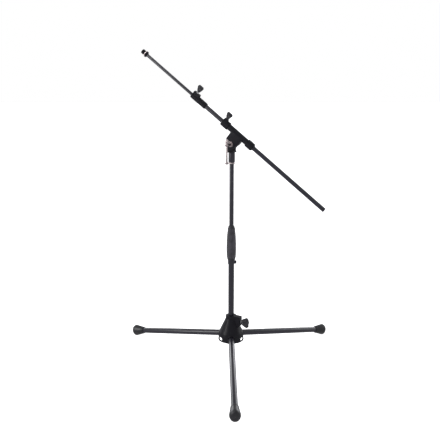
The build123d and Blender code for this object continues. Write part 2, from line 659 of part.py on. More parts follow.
with BuildPart() as upper_tube_bush:
    with BuildSketch(Plane.XY.offset(UPPER_BOTTOM)):
        Circle(LOWER_BORE_R - RUNNING)
        Circle(UPPER_R + SEATED, mode=Mode.SUBTRACT)
    extrude(amount=UPPER_BUSH_LENGTH)
keep(upper_tube_bush, "upper_tube_bush")

with BuildPart() as top_spigot:
    with BuildSketch(Plane.XY.offset(UPPER_TOP - TOP_PLUG_LENGTH)):
        Circle(UPPER_BORE_R - SEATED)
    extrude(amount=TOP_PLUG_LENGTH)
    with BuildSketch(Plane.XY.offset(UPPER_TOP)):
        Circle(FLANGE_R)
    extrude(amount=FLANGE_HEIGHT)
    chamfer(top_spigot.edges().filter_by(GeomType.CIRCLE).sort_by(SortBy.RADIUS)[-2:], 1)
    with BuildSketch(Plane.XY.offset(SLEEVE_BOTTOM)):
        Circle(TOP_THREAD_R)
    extrude(amount=TOP_THREAD_LENGTH)
keep(top_spigot, "top_spigot")

# ---------------------------------------------------------------- head
with BuildPart() as head_sleeve:
    with BuildSketch(Plane.XY.offset(SLEEVE_BOTTOM + SEATED)):
        Circle(SLEEVE_R)
        Circle(STEM_CORE_R + SEATED, mode=Mode.SUBTRACT)
    extrude(amount=SLEEVE_TOP - SLEEVE_BOTTOM)
    chamfer(head_sleeve.edges().group_by(Axis.Z)[-1].sort_by(SortBy.RADIUS)[-1], STEM_SLEEVE_BEVEL)
keep(head_sleeve, "head_sleeve")

with BuildPart() as head_stem:
    with BuildSketch(Plane.XY.offset(SLEEVE_BOTTOM + SEATED)):
        Circle(STEM_CORE_R)
    extrude(amount=SLEEVE_TOP - SLEEVE_BOTTOM)
    with BuildSketch(HEAD):
        with BuildLine():
            Polyline(
                (-STEM_FOOT_HALF, SLEEVE_TOP + SEATED - PIVOT_Z),
                (STEM_FOOT_HALF, SLEEVE_TOP + SEATED - PIVOT_Z),
                (STEM_HORN_HALF, STEM_HORN_Z - PIVOT_Z),
                (-STEM_HORN_HALF, STEM_HORN_Z - PIVOT_Z),
                close=True,
            )
        make_face()
    extrude(amount=STEM_HALF_DEPTH, both=True)
    with BuildSketch(HEAD):
        Circle(BLOCK_SWEEP_R)
    extrude(amount=STEM_HALF_DEPTH + 1, both=True, mode=Mode.SUBTRACT)
    with BuildSketch(HEAD):
        Circle(TONGUE_R)
        with Locations((0, (2 - PIVOT_RISE) / 2)):
            Rectangle(2 * TONGUE_FOOT_HALF, PIVOT_RISE - 2)
    extrude(amount=TONGUE_HALF, both=True)
    with BuildSketch(HEAD):
        Circle(SCREW_R + RUNNING)
    extrude(amount=STEM_HALF_DEPTH + 1, both=True, mode=Mode.SUBTRACT)
    with BuildSketch(Plane.XY.offset(SLEEVE_BOTTOM)):
        Circle(TOP_THREAD_R + SEATED)
    extrude(amount=TOP_THREAD_LENGTH + 1, mode=Mode.SUBTRACT)
keep(head_stem, "head_stem")

with BuildPart() as friction_washers:
    for side in (TONGUE_HALF + RUNNING, -TONGUE_HALF - RUNNING - WASHER_T):
        with BuildSketch(HEAD.offset(side)):
            Circle(WASHER_R)
            Circle(SCREW_R + GAP, mode=Mode.SUBTRACT)
        extrude(amount=WASHER_T)
keep(friction_washers, "friction_washers")

# ---------------------------------------------------------------- boom holder
pivot_below = -BOOM_OFFSET
with BuildPart() as boom_holder:
    with BuildSketch(BOOM):
        with BuildLine():
            FilletPolyline(
                (-BLOCK_FRONT, 0),
                (-BLOCK_FRONT, pivot_below + BLOCK_FRONT_RISE),
                (-CHEEK_CORNER * CHEEK_R, pivot_below - CHEEK_CORNER * CHEEK_R),
                (CHEEK_CORNER * CHEEK_R, pivot_below - CHEEK_CORNER * CHEEK_R),
                (BLOCK_REAR, pivot_below + BLOCK_REAR_RISE),
                (BLOCK_REAR, 0),
                radius=3,
            )
            Line((BLOCK_REAR, 0), (-BLOCK_FRONT, 0))
        make_face()
        with Locations((0, pivot_below)):
            Circle(CHEEK_R)
    extrude(amount=CHEEK_OUT, both=True)
    block_faces = boom_holder.faces().sort_by(SCREW_AXIS)
    chamfer(block_faces[0].edges() + block_faces[-1].edges(), 1)
    with BuildSketch(across_boom(HOLDER_FRONT)):
        Circle(HOLDER_R)
    extrude(amount=HOLDER_REAR - HOLDER_FRONT)
    with BuildSketch(BOOM):
        with Locations((0, (-FORK_FLOOR - BOOM_OFFSET - 2 * CHEEK_R) / 2)):
            Rectangle(4 * BLOCK_FRONT, BOOM_OFFSET + 2 * CHEEK_R - FORK_FLOOR)
    extrude(amount=FORK_HALF, both=True, mode=Mode.SUBTRACT)
    with BuildSketch(BOOM):
        with Locations((0, pivot_below)):
            Circle(SCREW_R + RUNNING)
    extrude(amount=2 * CHEEK_OUT, both=True, mode=Mode.SUBTRACT)
    with BuildSketch(across_boom(HOLDER_FRONT - 1)):
        Circle(HOLDER_BORE_R)
    extrude(amount=HOLDER_REAR - HOLDER_FRONT + 2, mode=Mode.SUBTRACT)
keep(boom_holder, "boom_holder")


def screw_plane_on_boom(station):
    """The plane of a clamp screw on the boom: x runs out along the screw, y along the boom."""
    lean = radians(KNOB_ROLL)
    out = RISE * cos(lean) + TO_SCREW * sin(lean)
    return Plane(BOOM.origin + ALONG * station, x_dir=out, z_dir=out.cross(ALONG))


boom_screw_plane = screw_plane_on_boom(BOOM_KNOB_STATION)
with BuildPart() as holder_front_collar:
    with BuildSketch(across_boom(FRONT_RING[0])):
        Circle(RING_R)
    extrude(amount=FRONT_RING[1] - FRONT_RING[0])
    chamfer(holder_front_collar.edges().filter_by(GeomType.CIRCLE), 1)
    with BuildSketch(end_on(boom_screw_plane, LINER_R + 1)):
        RectangleRounded(*BOOM_BOSS, 1.5)
    extrude(amount=BOOM_BOSS_REACH - LINER_R - 1)
    with BuildSketch(across_boom(FRONT_RING[0] - 1)):
        Circle(HOLDER_BORE_R)
    extrude(amount=FRONT_RING[1] - FRONT_RING[0] + 2, mode=Mode.SUBTRACT)
    with BuildSketch(across_boom(HOLDER_FRONT - SEATED)):
        Circle(HOLDER_R + SEATED)
    extrude(amount=FRONT_RING[1] - HOLDER_FRONT + 2, mode=Mode.SUBTRACT)
    with BuildSketch(end_on(boom_screw_plane)):
        Circle(SMALL_SCREW_R + RUNNING)
    extrude(amount=BOOM_BOSS_REACH + 2, mode=Mode.SUBTRACT)
keep(holder_front_collar, "holder_front_collar")

with BuildPart() as holder_rear_collar:
    with BuildSketch(across_boom(REAR_RING[0])):
        Circle(RING_R)
    extrude(amount=REAR_RING[1] - REAR_RING[0])
    chamfer(holder_rear_collar.edges().filter_by(GeomType.CIRCLE), 1)
    with BuildSketch(across_boom(REAR_RING[0] - 1)):
        Circle(HOLDER_R + SEATED)
    extrude(amount=REAR_RING[1] - REAR_RING[0] + 2, mode=Mode.SUBTRACT)
keep(holder_rear_collar, "holder_rear_collar")

with BuildPart() as clamp_nut:
    with BuildSketch(HEAD.offset(-CHEEK_OUT - SEATED)):
        RegularPolygon(NUT_R, 6)
        Circle(SCREW_R + RUNNING, mode=Mode.SUBTRACT)
    extrude(amount=-NUT_T)
keep(clamp_nut, "clamp_nut")

# ---------------------------------------------------------------- clamp screw and sliding bar
with BuildPart() as clamp_screw:
    with BuildSketch(HEAD.offset(SCREW_TAIL_END)):
        Circle(SCREW_R)
    extrude(amount=SCREW_HEAD_END - SCREW_TAIL_END)
    fillet(clamp_screw.edges().filter_by(GeomType.CIRCLE), 0.8)
    with BuildSketch(HEAD.offset(CHEEK_OUT + RUNNING + CLAMP_WASHER_T + SEATED)):
        Circle(CLAMP_RING_R)
    extrude(amount=CLAMP_RING_T)
    with BuildSketch(Plane(PIVOT + TO_SCREW * BAR_STATION - Vector(0, 0, 2 * SCREW_R), z_dir=(0, 0, 1))):
        Circle(BAR_R + RUNNING)
    extrude(amount=4 * SCREW_R, mode=Mode.SUBTRACT)
keep(clamp_screw, "clamp_screw")

with BuildPart() as clamp_washer:
    with BuildSketch(HEAD.offset(CHEEK_OUT + RUNNING)):
        Circle(CLAMP_WASHER_R)
        Circle(SCREW_R + SEATED, mode=Mode.SUBTRACT)
    extrude(amount=CLAMP_WASHER_T)
keep(clamp_washer, "clamp_washer")

bar_foot = PIVOT + TO_SCREW * BAR_STATION
bar_top = SCREW_R + BAR_REST
with BuildPart() as t_bar:
    with BuildSketch(Plane(bar_foot - Vector(0, 0, BAR_DROP + BAR_SEAT * BAR_BOTTOM_CAP_HEIGHT), z_dir=(0, 0, 1))):
        Circle(BAR_R)
    extrude(amount=BAR_DROP + BAR_SEAT * (BAR_BOTTOM_CAP_HEIGHT + BAR_TOP_CAP_HEIGHT) + bar_top)
keep(t_bar, "t_bar")

with BuildPart() as t_bar_top_cap:
    with BuildSketch(Plane(bar_foot + Vector(0, 0, bar_top), z_dir=(0, 0, 1))):
        Circle(BAR_TOP_CAP_R)
    extrude(amount=BAR_TOP_CAP_HEIGHT)
    fillet(t_bar_top_cap.edges().group_by(Axis.Z)[-1], 0.85 * BAR_TOP_CAP_R)
    fillet(t_bar_top_cap.edges().group_by(Axis.Z)[0], 0.15 * BAR_TOP_CAP_R)
    with BuildSketch(Plane(bar_foot + Vector(0, 0, bar_top), z_dir=(0, 0, 1))):
        Circle(BAR_R + SEATED)
    extrude(amount=BAR_SEAT * BAR_TOP_CAP_HEIGHT + SEATED, mode=Mode.SUBTRACT)
keep(t_bar_top_cap, "t_bar_top_cap")

with BuildPart() as t_bar_bottom_cap:
    with BuildSketch(Plane(bar_foot - Vector(0, 0, BAR_DROP), z_dir=(0, 0, 1))):
        Circle(BAR_BOTTOM_CAP_R)
    extrude(amount=-BAR_BOTTOM_CAP_HEIGHT)
    fillet(t_bar_bottom_cap.edges().filter_by(GeomType.CIRCLE), 0.3 * BAR_BOTTOM_CAP_R)
    with BuildSketch(Plane(bar_foot - Vector(0, 0, BAR_DROP), z_dir=(0, 0, 1))):
        Circle(BAR_R + SEATED)
    extrude(amount=-BAR_SEAT * BAR_BOTTOM_CAP_HEIGHT - SEATED, mode=Mode.SUBTRACT)
keep(t_bar_bottom_cap, "t_bar_bottom_cap")

# ---------------------------------------------------------------- boom clamp knob and liners
boom_knob = wing_knob(boom_screw_plane, BOOM_KNOB_CENTRE, WING_SPAN, WING_WIDTH, WING_THICKNESS, SMALL_SCREW_R)
keep(boom_knob, "boom_knob")
boom_knob_screw = screw(boom_screw_plane, SMALL_SCREW_R, LINER_R + RUNNING, BOOM_KNOB_CENTRE)
keep(boom_knob_screw, "boom_knob_screw")

for liner, start, length in (
    ("boom_front_bush", FRONT_RING[0], FRONT_RING[1] - FRONT_RING[0]),
    ("boom_rear_bush", HOLDER_REAR - REAR_BUSH_LENGTH, REAR_BUSH_LENGTH),
):
    with BuildPart() as bush:
        with BuildSketch(across_boom(start)):
            Circle(LINER_R)
            Circle(LINER_BORE_R, mode=Mode.SUBTRACT)
        extrude(amount=length)
    keep(bush, liner)

# ---------------------------------------------------------------- boom tube
with BuildPart() as boom_tube:
    with BuildSketch(across_boom(BOOM_FRONT)):
        Circle(BOOM_R)
        Circle(BOOM_BORE_R, mode=Mode.SUBTRACT)
    extrude(amount=BOOM_REAR - BOOM_FRONT)
keep(boom_tube, "boom_tube")

with BuildPart() as boom_rear_plug:
    with BuildSketch(across_boom(BOOM_REAR - REAR_PLUG_DEPTH)):
        Circle(BOOM_BORE_R - SEATED)
    extrude(amount=REAR_PLUG_DEPTH - REAR_PLUG_INSET)
keep(boom_rear_plug, "boom_rear_plug")

ext_screw_plane = screw_plane_on_boom(EXT_KNOB_STATION)
with BuildPart() as extension_clamp:
    with BuildSketch(across_boom(EXT_CLAMP_FRONT)):
        Circle(EXT_CLAMP_R)
    extrude(amount=EXT_CLAMP_REAR - EXT_CLAMP_FRONT)
    chamfer(extension_clamp.edges().filter_by(GeomType.CIRCLE), 1.2)
    with BuildSketch(end_on(ext_screw_plane, EXT_LINER_R + 1)):
        RectangleRounded(*EXT_BOSS, 1.5)
    extrude(amount=EXT_BOSS_REACH - EXT_LINER_R - 1)
    with BuildSketch(across_boom(EXT_CLAMP_FRONT - 1)):
        Circle(EXT_LINER_R + RUNNING)
    extrude(amount=BOOM_FRONT - EXT_CLAMP_FRONT + 2, mode=Mode.SUBTRACT)
    with BuildSketch(across_boom(BOOM_FRONT - SEATED)):
        Circle(BOOM_R + SEATED)
    extrude(amount=EXT_CLAMP_REAR - BOOM_FRONT + 2, mode=Mode.SUBTRACT)
    with BuildSketch(end_on(ext_screw_plane)):
        Circle(SMALL_SCREW_R + RUNNING)
    extrude(amount=EXT_BOSS_REACH + 2, mode=Mode.SUBTRACT)
keep(extension_clamp, "extension_clamp")

extension_knob = wing_knob(ext_screw_plane, EXT_KNOB_CENTRE, WING_SPAN, WING_WIDTH, WING_THICKNESS, SMALL_SCREW_R)
keep(extension_knob, "extension_knob")
extension_knob_screw = screw(ext_screw_plane, SMALL_SCREW_R, EXT_LINER_R + RUNNING, EXT_KNOB_CENTRE)
keep(extension_knob_screw, "extension_knob_screw")

with BuildPart() as extension_bush:
    with BuildSketch(across_boom(EXT_CLAMP_FRONT)):
        Circle(EXT_LINER_R)
        Circle(EXT_LINER_BORE_R, mode=Mode.SUBTRACT)
    extrude(amount=EXT_BUSH_LENGTH)
keep(extension_bush, "extension_bush")

# ---------------------------------------------------------------- extension rod and tip
with BuildPart() as extension_tube:
    with BuildSketch(across_boom(EXT_FRONT)):
        Circle(EXT_R)
        Circle(EXT_BORE_R, mode=Mode.SUBTRACT)
    extrude(amount=EXT_LENGTH)
keep(extension_tube, "extension_tube")

with BuildPart() as extension_inner_bush:
    with BuildSketch(across_boom(EXT_FRONT + EXT_LENGTH - INNER_BUSH_LENGTH)):
        Circle(BOOM_BORE_R - RUNNING)
        Circle(EXT_R + SEATED, mode=Mode.SUBTRACT)
    extrude(amount=INNER_BUSH_LENGTH)
keep(extension_inner_bush, "extension_inner_bush")

flange_front = EXT_FRONT - TIP_FLANGE_LENGTH
with BuildPart() as tip_flange:
    with BuildSketch(BOOM):
        with BuildLine():
            Polyline(
                (flange_front, 0),
                (flange_front, TIP_FLANGE_R),
                (EXT_FRONT, TIP_FLANGE_R),
                (EXT_FRONT, EXT_R + TIP_NECK_WALL),
                (EXT_FRONT + TIP_NECK_LENGTH, EXT_R + TIP_NECK_WALL),
                (EXT_FRONT + TIP_NECK_LENGTH, EXT_R + SEATED),
                (EXT_FRONT - SEATED, EXT_R + SEATED),
                (EXT_FRONT - SEATED, EXT_BORE_R - SEATED),
                (EXT_FRONT + TIP_PLUG_LENGTH, EXT_BORE_R - SEATED),
                (EXT_FRONT + TIP_PLUG_LENGTH, 0),
                close=True,
            )
        make_face()
    revolve(axis=BOOM_AXIS)
keep(tip_flange, "tip_flange")

thread_start = flange_front - SEATED - LOCK_RING_LENGTH - GAP
with BuildPart() as tip_stud:
    with BuildSketch(across_boom(flange_front - SEATED)):
        Circle(TIP_STUD_R - TIP_RELIEF)
    extrude(amount=-LOCK_RING_LENGTH - GAP)
    with BuildSketch(across_boom(thread_start)):
        Circle(TIP_STUD_R)
    extrude(amount=-TIP_THREAD_LENGTH)
    chamfer(tip_stud.faces().sort_by(BOOM_AXIS)[0].edges(), 0.8)
keep(tip_stud, "tip_stud")

with BuildPart() as lock_ring:
    with BuildSketch(across_boom(flange_front - RUNNING)):
        Circle(LOCK_RING_R)
        Circle(TIP_STUD_R + RUNNING, mode=Mode.SUBTRACT)
    extrude(amount=-LOCK_RING_LENGTH)
keep(lock_ring, "lock_ring")
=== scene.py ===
import json
import math

import bmesh
import bpy
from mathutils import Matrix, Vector


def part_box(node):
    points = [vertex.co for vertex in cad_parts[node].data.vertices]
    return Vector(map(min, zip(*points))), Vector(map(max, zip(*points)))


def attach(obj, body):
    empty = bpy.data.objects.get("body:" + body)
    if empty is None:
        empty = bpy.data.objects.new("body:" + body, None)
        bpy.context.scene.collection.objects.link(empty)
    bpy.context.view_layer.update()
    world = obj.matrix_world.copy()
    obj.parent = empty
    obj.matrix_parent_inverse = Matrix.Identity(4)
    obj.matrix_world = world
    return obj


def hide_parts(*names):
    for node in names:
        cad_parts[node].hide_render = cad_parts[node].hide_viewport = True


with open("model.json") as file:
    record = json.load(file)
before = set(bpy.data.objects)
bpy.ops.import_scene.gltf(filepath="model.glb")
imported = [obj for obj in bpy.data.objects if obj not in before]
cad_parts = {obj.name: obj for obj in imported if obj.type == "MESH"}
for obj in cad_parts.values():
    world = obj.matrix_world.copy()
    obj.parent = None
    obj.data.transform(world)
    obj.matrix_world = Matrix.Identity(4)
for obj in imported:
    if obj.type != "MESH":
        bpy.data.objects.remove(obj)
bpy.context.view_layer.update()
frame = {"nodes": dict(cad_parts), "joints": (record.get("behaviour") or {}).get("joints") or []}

# ------------------------------------------------------------------ studio
# The camera stands in front of the front leg, a little above the boom's clamp, and looks down.
# Two tall lamps and a small high one light the stand, with a white panel behind it on each side,
# and it stands on a pale floor with no props.
CAMERA_AT = (-0.0607, -1.9526, 0.9345)
CAMERA_TILT = 0.221          # radians below level
CAMERA_TURN = -0.0115        # radians about the vertical
CAMERA_LENS = 49.09
FLOOR_HALF = 30.0
FLOOR_GLOW = 0.95            # the floor is lit through from below, as a light table is
SKY_DIM = 0.42               # what the room gives from every direction
PANEL_GLOW = 3.2             # of the two white panels behind the stand, left and right
PANEL_SIDES = (0.18, 0.42)   # where they begin, as shares of a direction's length: sideways,
PANEL_DEPTH = (0.35, 0.70)   # away from the camera,
PANEL_FOOT = (0.00, 0.14)    # above the horizon,
PANEL_TOP = (0.35, 0.75)     # and where they end

camera = bpy.data.objects.new("camera", bpy.data.cameras.new("camera"))
camera.data.sensor_width = 36
camera.data.lens = CAMERA_LENS
camera.location = CAMERA_AT
camera.rotation_euler = (math.pi / 2 - CAMERA_TILT, 0, CAMERA_TURN)
bpy.context.scene.collection.objects.link(camera)
bpy.context.scene.camera = camera
bpy.context.scene.view_settings.view_transform = "Standard"


def soft_box(name, place, target, width, height, power):
    """A rectangular studio lamp at place that faces target."""
    lamp = bpy.data.lights.new(name, "AREA")
    lamp.shape = "RECTANGLE"
    lamp.size, lamp.size_y = width, height
    lamp.energy = power
    holder = bpy.data.objects.new(name, lamp)
    holder.location = place
    holder.rotation_mode = "QUATERNION"
    holder.rotation_quaternion = (Vector(target) - Vector(place)).to_track_quat("-Z", "Y")
    bpy.context.scene.collection.objects.link(holder)


soft_box("left_box", (-2.3, -1.0, 1.4), (0, 0, 0.5), width=0.9, height=2.2, power=28)
soft_box("right_box", (2.6, 0.3, 1.2), (0, 0, 0.4), width=0.6, height=2.2, power=10)
soft_box("high_box", (-0.5, -0.6, 3.0), (0, 0, 0.3), width=1.2, height=0.9, power=8)


class Value:
    """A node's output that takes part in sums: each sum adds a Math node to its tree."""

    def __init__(self, tree, socket):
        self.tree = tree
        self.socket = socket

    def sum_of(self, operation, *terms):
        node = self.tree.nodes.new("ShaderNodeMath")
        node.operation = operation
        for socket, item in zip(node.inputs, terms):
            if isinstance(item, Value):
                self.tree.links.new(item.socket, socket)
            else:
                socket.default_value = item
        return Value(self.tree, node.outputs[0])

    def __add__(self, other):
        return self.sum_of("ADD", self, other)

    def __sub__(self, other):
        return self.sum_of("SUBTRACT", self, other)

    def __rsub__(self, other):
        return self.sum_of("SUBTRACT", other, self)

    def __mul__(self, other):
        return self.sum_of("MULTIPLY", self, other)

    def __abs__(self):
        return self.sum_of("ABSOLUTE", self)

    __radd__ = __add__
    __rmul__ = __mul__


class Nodes:
    """A node tree that is being put together."""

    def __init__(self, tree):
        self.tree = tree

    def node(self, kind, settings=(), sockets=(), output=0):
        """Adds a node: its settings first, then the values or links of its sockets."""
        node = self.tree.nodes.new(kind)
        for key, value in dict(settings).items():
            setattr(node, key, value)
        for key, value in dict(sockets).items():
            if isinstance(value, Value):
                self.tree.links.new(value.socket, node.inputs[key])
            else:
                node.inputs[key].default_value = value
        return Value(self.tree, node.outputs[output])

    def spread(self, value, low, high):
        """Stretches a value between low and high to the range 0 to 1."""
        return self.node(
            "ShaderNodeMapRange", {"interpolation_type": "SMOOTHSTEP"},
            {"Value": value, "From Min": low, "From Max": high},
        )


class Finish(Nodes):
    """A surface finish: a material whose plain values are set on its shader's own sockets."""

    def __init__(self, name, **plain):
        self.material = bpy.data.materials.new(name)
        self.material.use_nodes = True
        super().__init__(self.material.node_tree)
        self.shader = self.tree.nodes["Principled BSDF"]
        for key, value in plain.items():
            self.shader.inputs[key.replace("_", " ")].default_value = value
        self.place = self.node("ShaderNodeTexCoord", output="Object")

    def noise(self, scale, detail=2.0, stretch=None):
        """Cloudy noise with scale features to the metre, stretched along the object's axes."""
        place = self.place
        if stretch:
            place = self.node("ShaderNodeMapping", sockets={"Vector": place, "Scale": stretch})
        return self.node("ShaderNodeTexNoise", sockets={"Vector": place, "Scale": scale, "Detail": detail})

    def cells(self, scale):
        """Distance to the nearest of scattered points, for moulded grain."""
        return self.node("ShaderNodeTexVoronoi", sockets={"Vector": self.place, "Scale": scale})

    def mix(self, factor, first, second):
        """Mixes two colours, on the node's colour sockets, which share their names with others."""
        sockets = {0: factor, 6: first, 7: second}
        return self.node("ShaderNodeMix", {"data_type": "RGBA"}, sockets, output=2)

    def bump(self, height, distance):
        """Feeds a height to the shader's normal, in metres of relief."""
        self.feed("Normal", self.node("ShaderNodeBump", sockets={"Height": height, "Distance": distance}))

    def feed(self, socket, value):
        """Links a value to one of the shader's sockets."""
        self.tree.links.new(value.socket, self.shader.inputs[socket])


world = bpy.data.worlds.new("studio")
world.use_nodes = True
room = Nodes(world.node_tree)
glow = room.tree.nodes["Background"]
way = room.node("ShaderNodeTexCoord", output="Generated")
east, north, high = (
    room.node("ShaderNodeSeparateXYZ", sockets={"Vector": way}, output=axis) for axis in "XYZ"
)
panels = room.spread(abs(east), *PANEL_SIDES) * room.spread(north, *PANEL_DEPTH)
panels = panels * room.spread(high, *PANEL_FOOT) * (1 - room.spread(high, *PANEL_TOP))
glow.inputs["Color"].default_value = (0.96, 0.97, 1.0, 1)
room.tree.links.new((panels * PANEL_GLOW + SKY_DIM).socket, glow.inputs["Strength"])
backdrop = room.node("ShaderNodeMixShader", sockets={
    "Fac": room.node("ShaderNodeLightPath", output="Is Camera Ray"),
    1: Value(room.tree, glow.outputs["Background"]),
    2: room.node("ShaderNodeBackground", sockets={"Color": (1, 1, 1, 1)}),
})
room.tree.links.new(backdrop.socket, room.tree.nodes["World Output"].inputs["Surface"])
bpy.context.scene.world = world

floor_mesh = bpy.data.meshes.new("floor")
corners = [(-1, -1), (1, -1), (1, 1), (-1, 1)]
floor_mesh.from_pydata([(x * FLOOR_HALF, y * FLOOR_HALF, 0) for x, y in corners], [], [(0, 1, 2, 3)])
floor = bpy.data.objects.new("floor", floor_mesh)
bpy.context.scene.collection.objects.link(floor)
floor_paint = Finish(
    "floor_paint", Base_Color=(0.93, 0.93, 0.93, 1), Roughness=0.9,
    Emission_Color=(1, 1, 1, 1), Emission_Strength=FLOOR_GLOW,
)
floor_mesh.materials.append(floor_paint.material)
floor.visible_glossy = False

# ------------------------------------------------------------------ hub
# A bell-shaped hub moulded in black glass-filled nylon, with arched slots for the legs, drain
# windows between them and a lug for the clamp screw.  A bead stiffens every edge of the skirt.
SKIRT_BEAD = 0.0011
WINDOW_BEAD = 0.0008
WINDOW_WIDTH, WINDOW_HEIGHT = 0.020, 0.011
WINDOW_RISE = 0.0096         # window centre above the rim
SLOT_HALF = 0.0109           # half a leg slot's width
SLOT_LIFT = 0.0001           # the arch's centre below the leg's own line
ARCH_STEPS = 12
RUN_STEPS = 8
HUB_GRAIN = 0.00075
SHARP = math.radians(38)     # edges sharper than this stay sharp
EASE_PASSES = 3

joints = {joint["name"]: joint for joint in frame["joints"]}
moulded = Finish("moulded_nylon", Specular_IOR_Level=0.22)
flow = moulded.noise(28, 4.0)
grain = moulded.cells(1500)
scuff = moulded.spread(moulded.noise(160, 6.0), 0.60, 0.74)
moulded.feed("Base Color", moulded.mix(
    scuff * 0.5 + flow * 0.25, (0.0040, 0.0037, 0.0060, 1), (0.020, 0.019, 0.026, 1)
))
moulded.feed("Roughness", flow * 0.20 + scuff * 0.12 + 0.24)
moulded.bump(grain * 0.6 + flow * 0.8, 0.00012)


def placed(name, mesh):
    """Puts a mesh in the scene, smooth but with its sharp edges kept."""
    mesh.polygons.foreach_set("use_smooth", [True] * len(mesh.polygons))
    mesh.set_sharp_from_angle(angle=SHARP)
    piece = bpy.data.objects.new(name, mesh)
    bpy.context.scene.collection.objects.link(piece)
    return piece


def settled(piece):
    """Applies a piece's modifiers to its mesh."""
    shaped = piece.evaluated_get(bpy.context.evaluated_depsgraph_get())
    mesh = bpy.data.meshes.new_from_object(shaped)
    piece.modifiers.clear()
    piece.data = mesh
    return piece


def cast(name, node, extras=(), grain=0.00045, keep=0.5):
    """A casting on a CAD node's shape: extras are merged in and every edge is eased like a mould's.

    grain is the size of the smallest step, and keep the share of the faces that stay.
    """
    shell = bmesh.new()
    shell.from_mesh(frame["nodes"][node].data)
    for extra in extras:
        shell.from_mesh(extra.data)
        bpy.data.objects.remove(extra)
    mesh = bpy.data.meshes.new(name)
    shell.to_mesh(mesh)
    shell.free()
    mesh.materials.clear()
    piece = placed(name, mesh)
    remesh = piece.modifiers.new("grain", "REMESH")
    remesh.mode = "VOXEL"
    remesh.voxel_size = grain
    remesh.use_smooth_shade = True
    smooth = piece.modifiers.new("ease", "SMOOTH")
    smooth.iterations = EASE_PASSES
    thin = piece.modifiers.new("thin", "DECIMATE")
    thin.ratio = keep
    settled(piece)
    piece.data.polygons.foreach_set("use_smooth", [True] * len(piece.data.polygons))
    return piece


def bead(name, points, radius, closed=True):
    """A round bead that follows a line of points."""
    curve = bpy.data.curves.new(name, "CURVE")
    curve.dimensions = "3D"
    curve.bevel_depth = radius
    curve.bevel_resolution = 3
    curve.use_fill_caps = True
    spline = curve.splines.new("POLY")
    spline.points.add(len(points) - 1)
    for slot, point in zip(spline.points, points):
        slot.co = (*point, 1)
    spline.use_cyclic_u = closed
    line = bpy.data.objects.new(name, curve)
    bpy.context.scene.collection.objects.link(line)
    mesh = bpy.data.meshes.new_from_object(line.evaluated_get(bpy.context.evaluated_depsgraph_get()))
    bpy.data.objects.remove(line)
    return placed(name, mesh)


def fit(piece, body, slot, finish, *nodes):
    """Gives a piece its finish and its body, and lets it stand for its CAD nodes."""
    piece.data.materials.clear()
    piece.data.materials.append(finish.material)
    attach(piece, body)
    if nodes:
        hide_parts(*nodes)
    return piece


hub_low, hub_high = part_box("base_hub")
skirt_r = hub_high.y
rim_z = hub_low.z
leg_names = ("front", "right", "left")
pin_reach = Vector(joints["leg_front_fold"]["pos_m"][:2]).length


def leg_azimuth(leg):
    pin = joints[f"leg_{leg}_fold"]["pos_m"]
    return math.atan2(pin[1], pin[0])


def leg_line(leg):
    """A leg's pin and the direction in which its tube runs out from there."""
    pin = Vector(joints[f"leg_{leg}_fold"]["pos_m"])
    tube = frame["nodes"][f"leg_{leg}_tube"].data.vertices
    middle = sum((vertex.co for vertex in tube), Vector()) / len(tube)
    return pin, (middle - pin).normalized()


def on_skirt(azimuth, across, height):
    """A point on the skirt's face, across being measured round it from an azimuth."""
    turn = azimuth + across / skirt_r
    return (skirt_r * math.cos(turn), skirt_r * math.sin(turn), height)


front_pin, front_run = leg_line("front")
arch_z = front_pin.z + front_run.z / -front_run.y * (skirt_r - pin_reach) - SLOT_LIFT
edge_line = []
for leg in sorted(leg_names, key=leg_azimuth):
    turn = leg_azimuth(leg)
    reach = SLOT_HALF + SKIRT_BEAD
    third = skirt_r * math.pi / 3
    low = rim_z + SKIRT_BEAD
    step = (third - reach) / RUN_STEPS
    edge_line += [on_skirt(turn, -third + step * i, low) for i in range(RUN_STEPS + 1)]
    for i in range(ARCH_STEPS + 1):
        bend = math.pi * i / ARCH_STEPS
        edge_line.append(on_skirt(turn, -reach * math.cos(bend), arch_z + reach * math.sin(bend)))
    edge_line += [on_skirt(turn, reach + step * i, low) for i in range(RUN_STEPS)]
hub_extras = [bead("skirt_bead", edge_line, SKIRT_BEAD)]
for leg in leg_names:
    middle = leg_azimuth(leg) + math.pi / 3
    half = (WINDOW_WIDTH - WINDOW_HEIGHT) / 2
    lip = WINDOW_HEIGHT / 2 + WINDOW_BEAD
    ring = []
    for side in (1, -1):
        for i in range(RUN_STEPS + 1):
            turn = side * (math.pi / 2 - math.pi * i / RUN_STEPS)
            ring.append(on_skirt(
                middle, side * (half + lip * abs(math.cos(turn))), rim_z + WINDOW_RISE + lip * math.sin(turn)
            ))
    hub_extras.append(bead("window_bead", ring, WINDOW_BEAD))
hub = cast("hub_bell", "base_hub", hub_extras, grain=HUB_GRAIN, keep=0.45)
fit(hub, "hub", "moulded_black", moulded, "base_hub")

steel = Finish("zinc_plate", Base_Color=(0.58, 0.58, 0.60, 1), Metallic=1.0)
steel.feed("Roughness", steel.noise(420, 3.0) * 0.30 + 0.22)
steel.bump(steel.noise(2600, 2.0), 0.00002)
liner = Finish("dark_nylon", Base_Color=(0.10, 0.10, 0.105, 1))
liner.feed("Roughness", liner.noise(300) * 0.2 + 0.35)


def repaint(node, finish):
    """Gives a CAD node that stays in view its finish."""
    piece = frame["nodes"][node]
    piece.data.materials.clear()
    piece.data.materials.append(finish.material)


repaint("leg_pivot_pins", steel)
repaint("hub_clamp_shoe", liner)

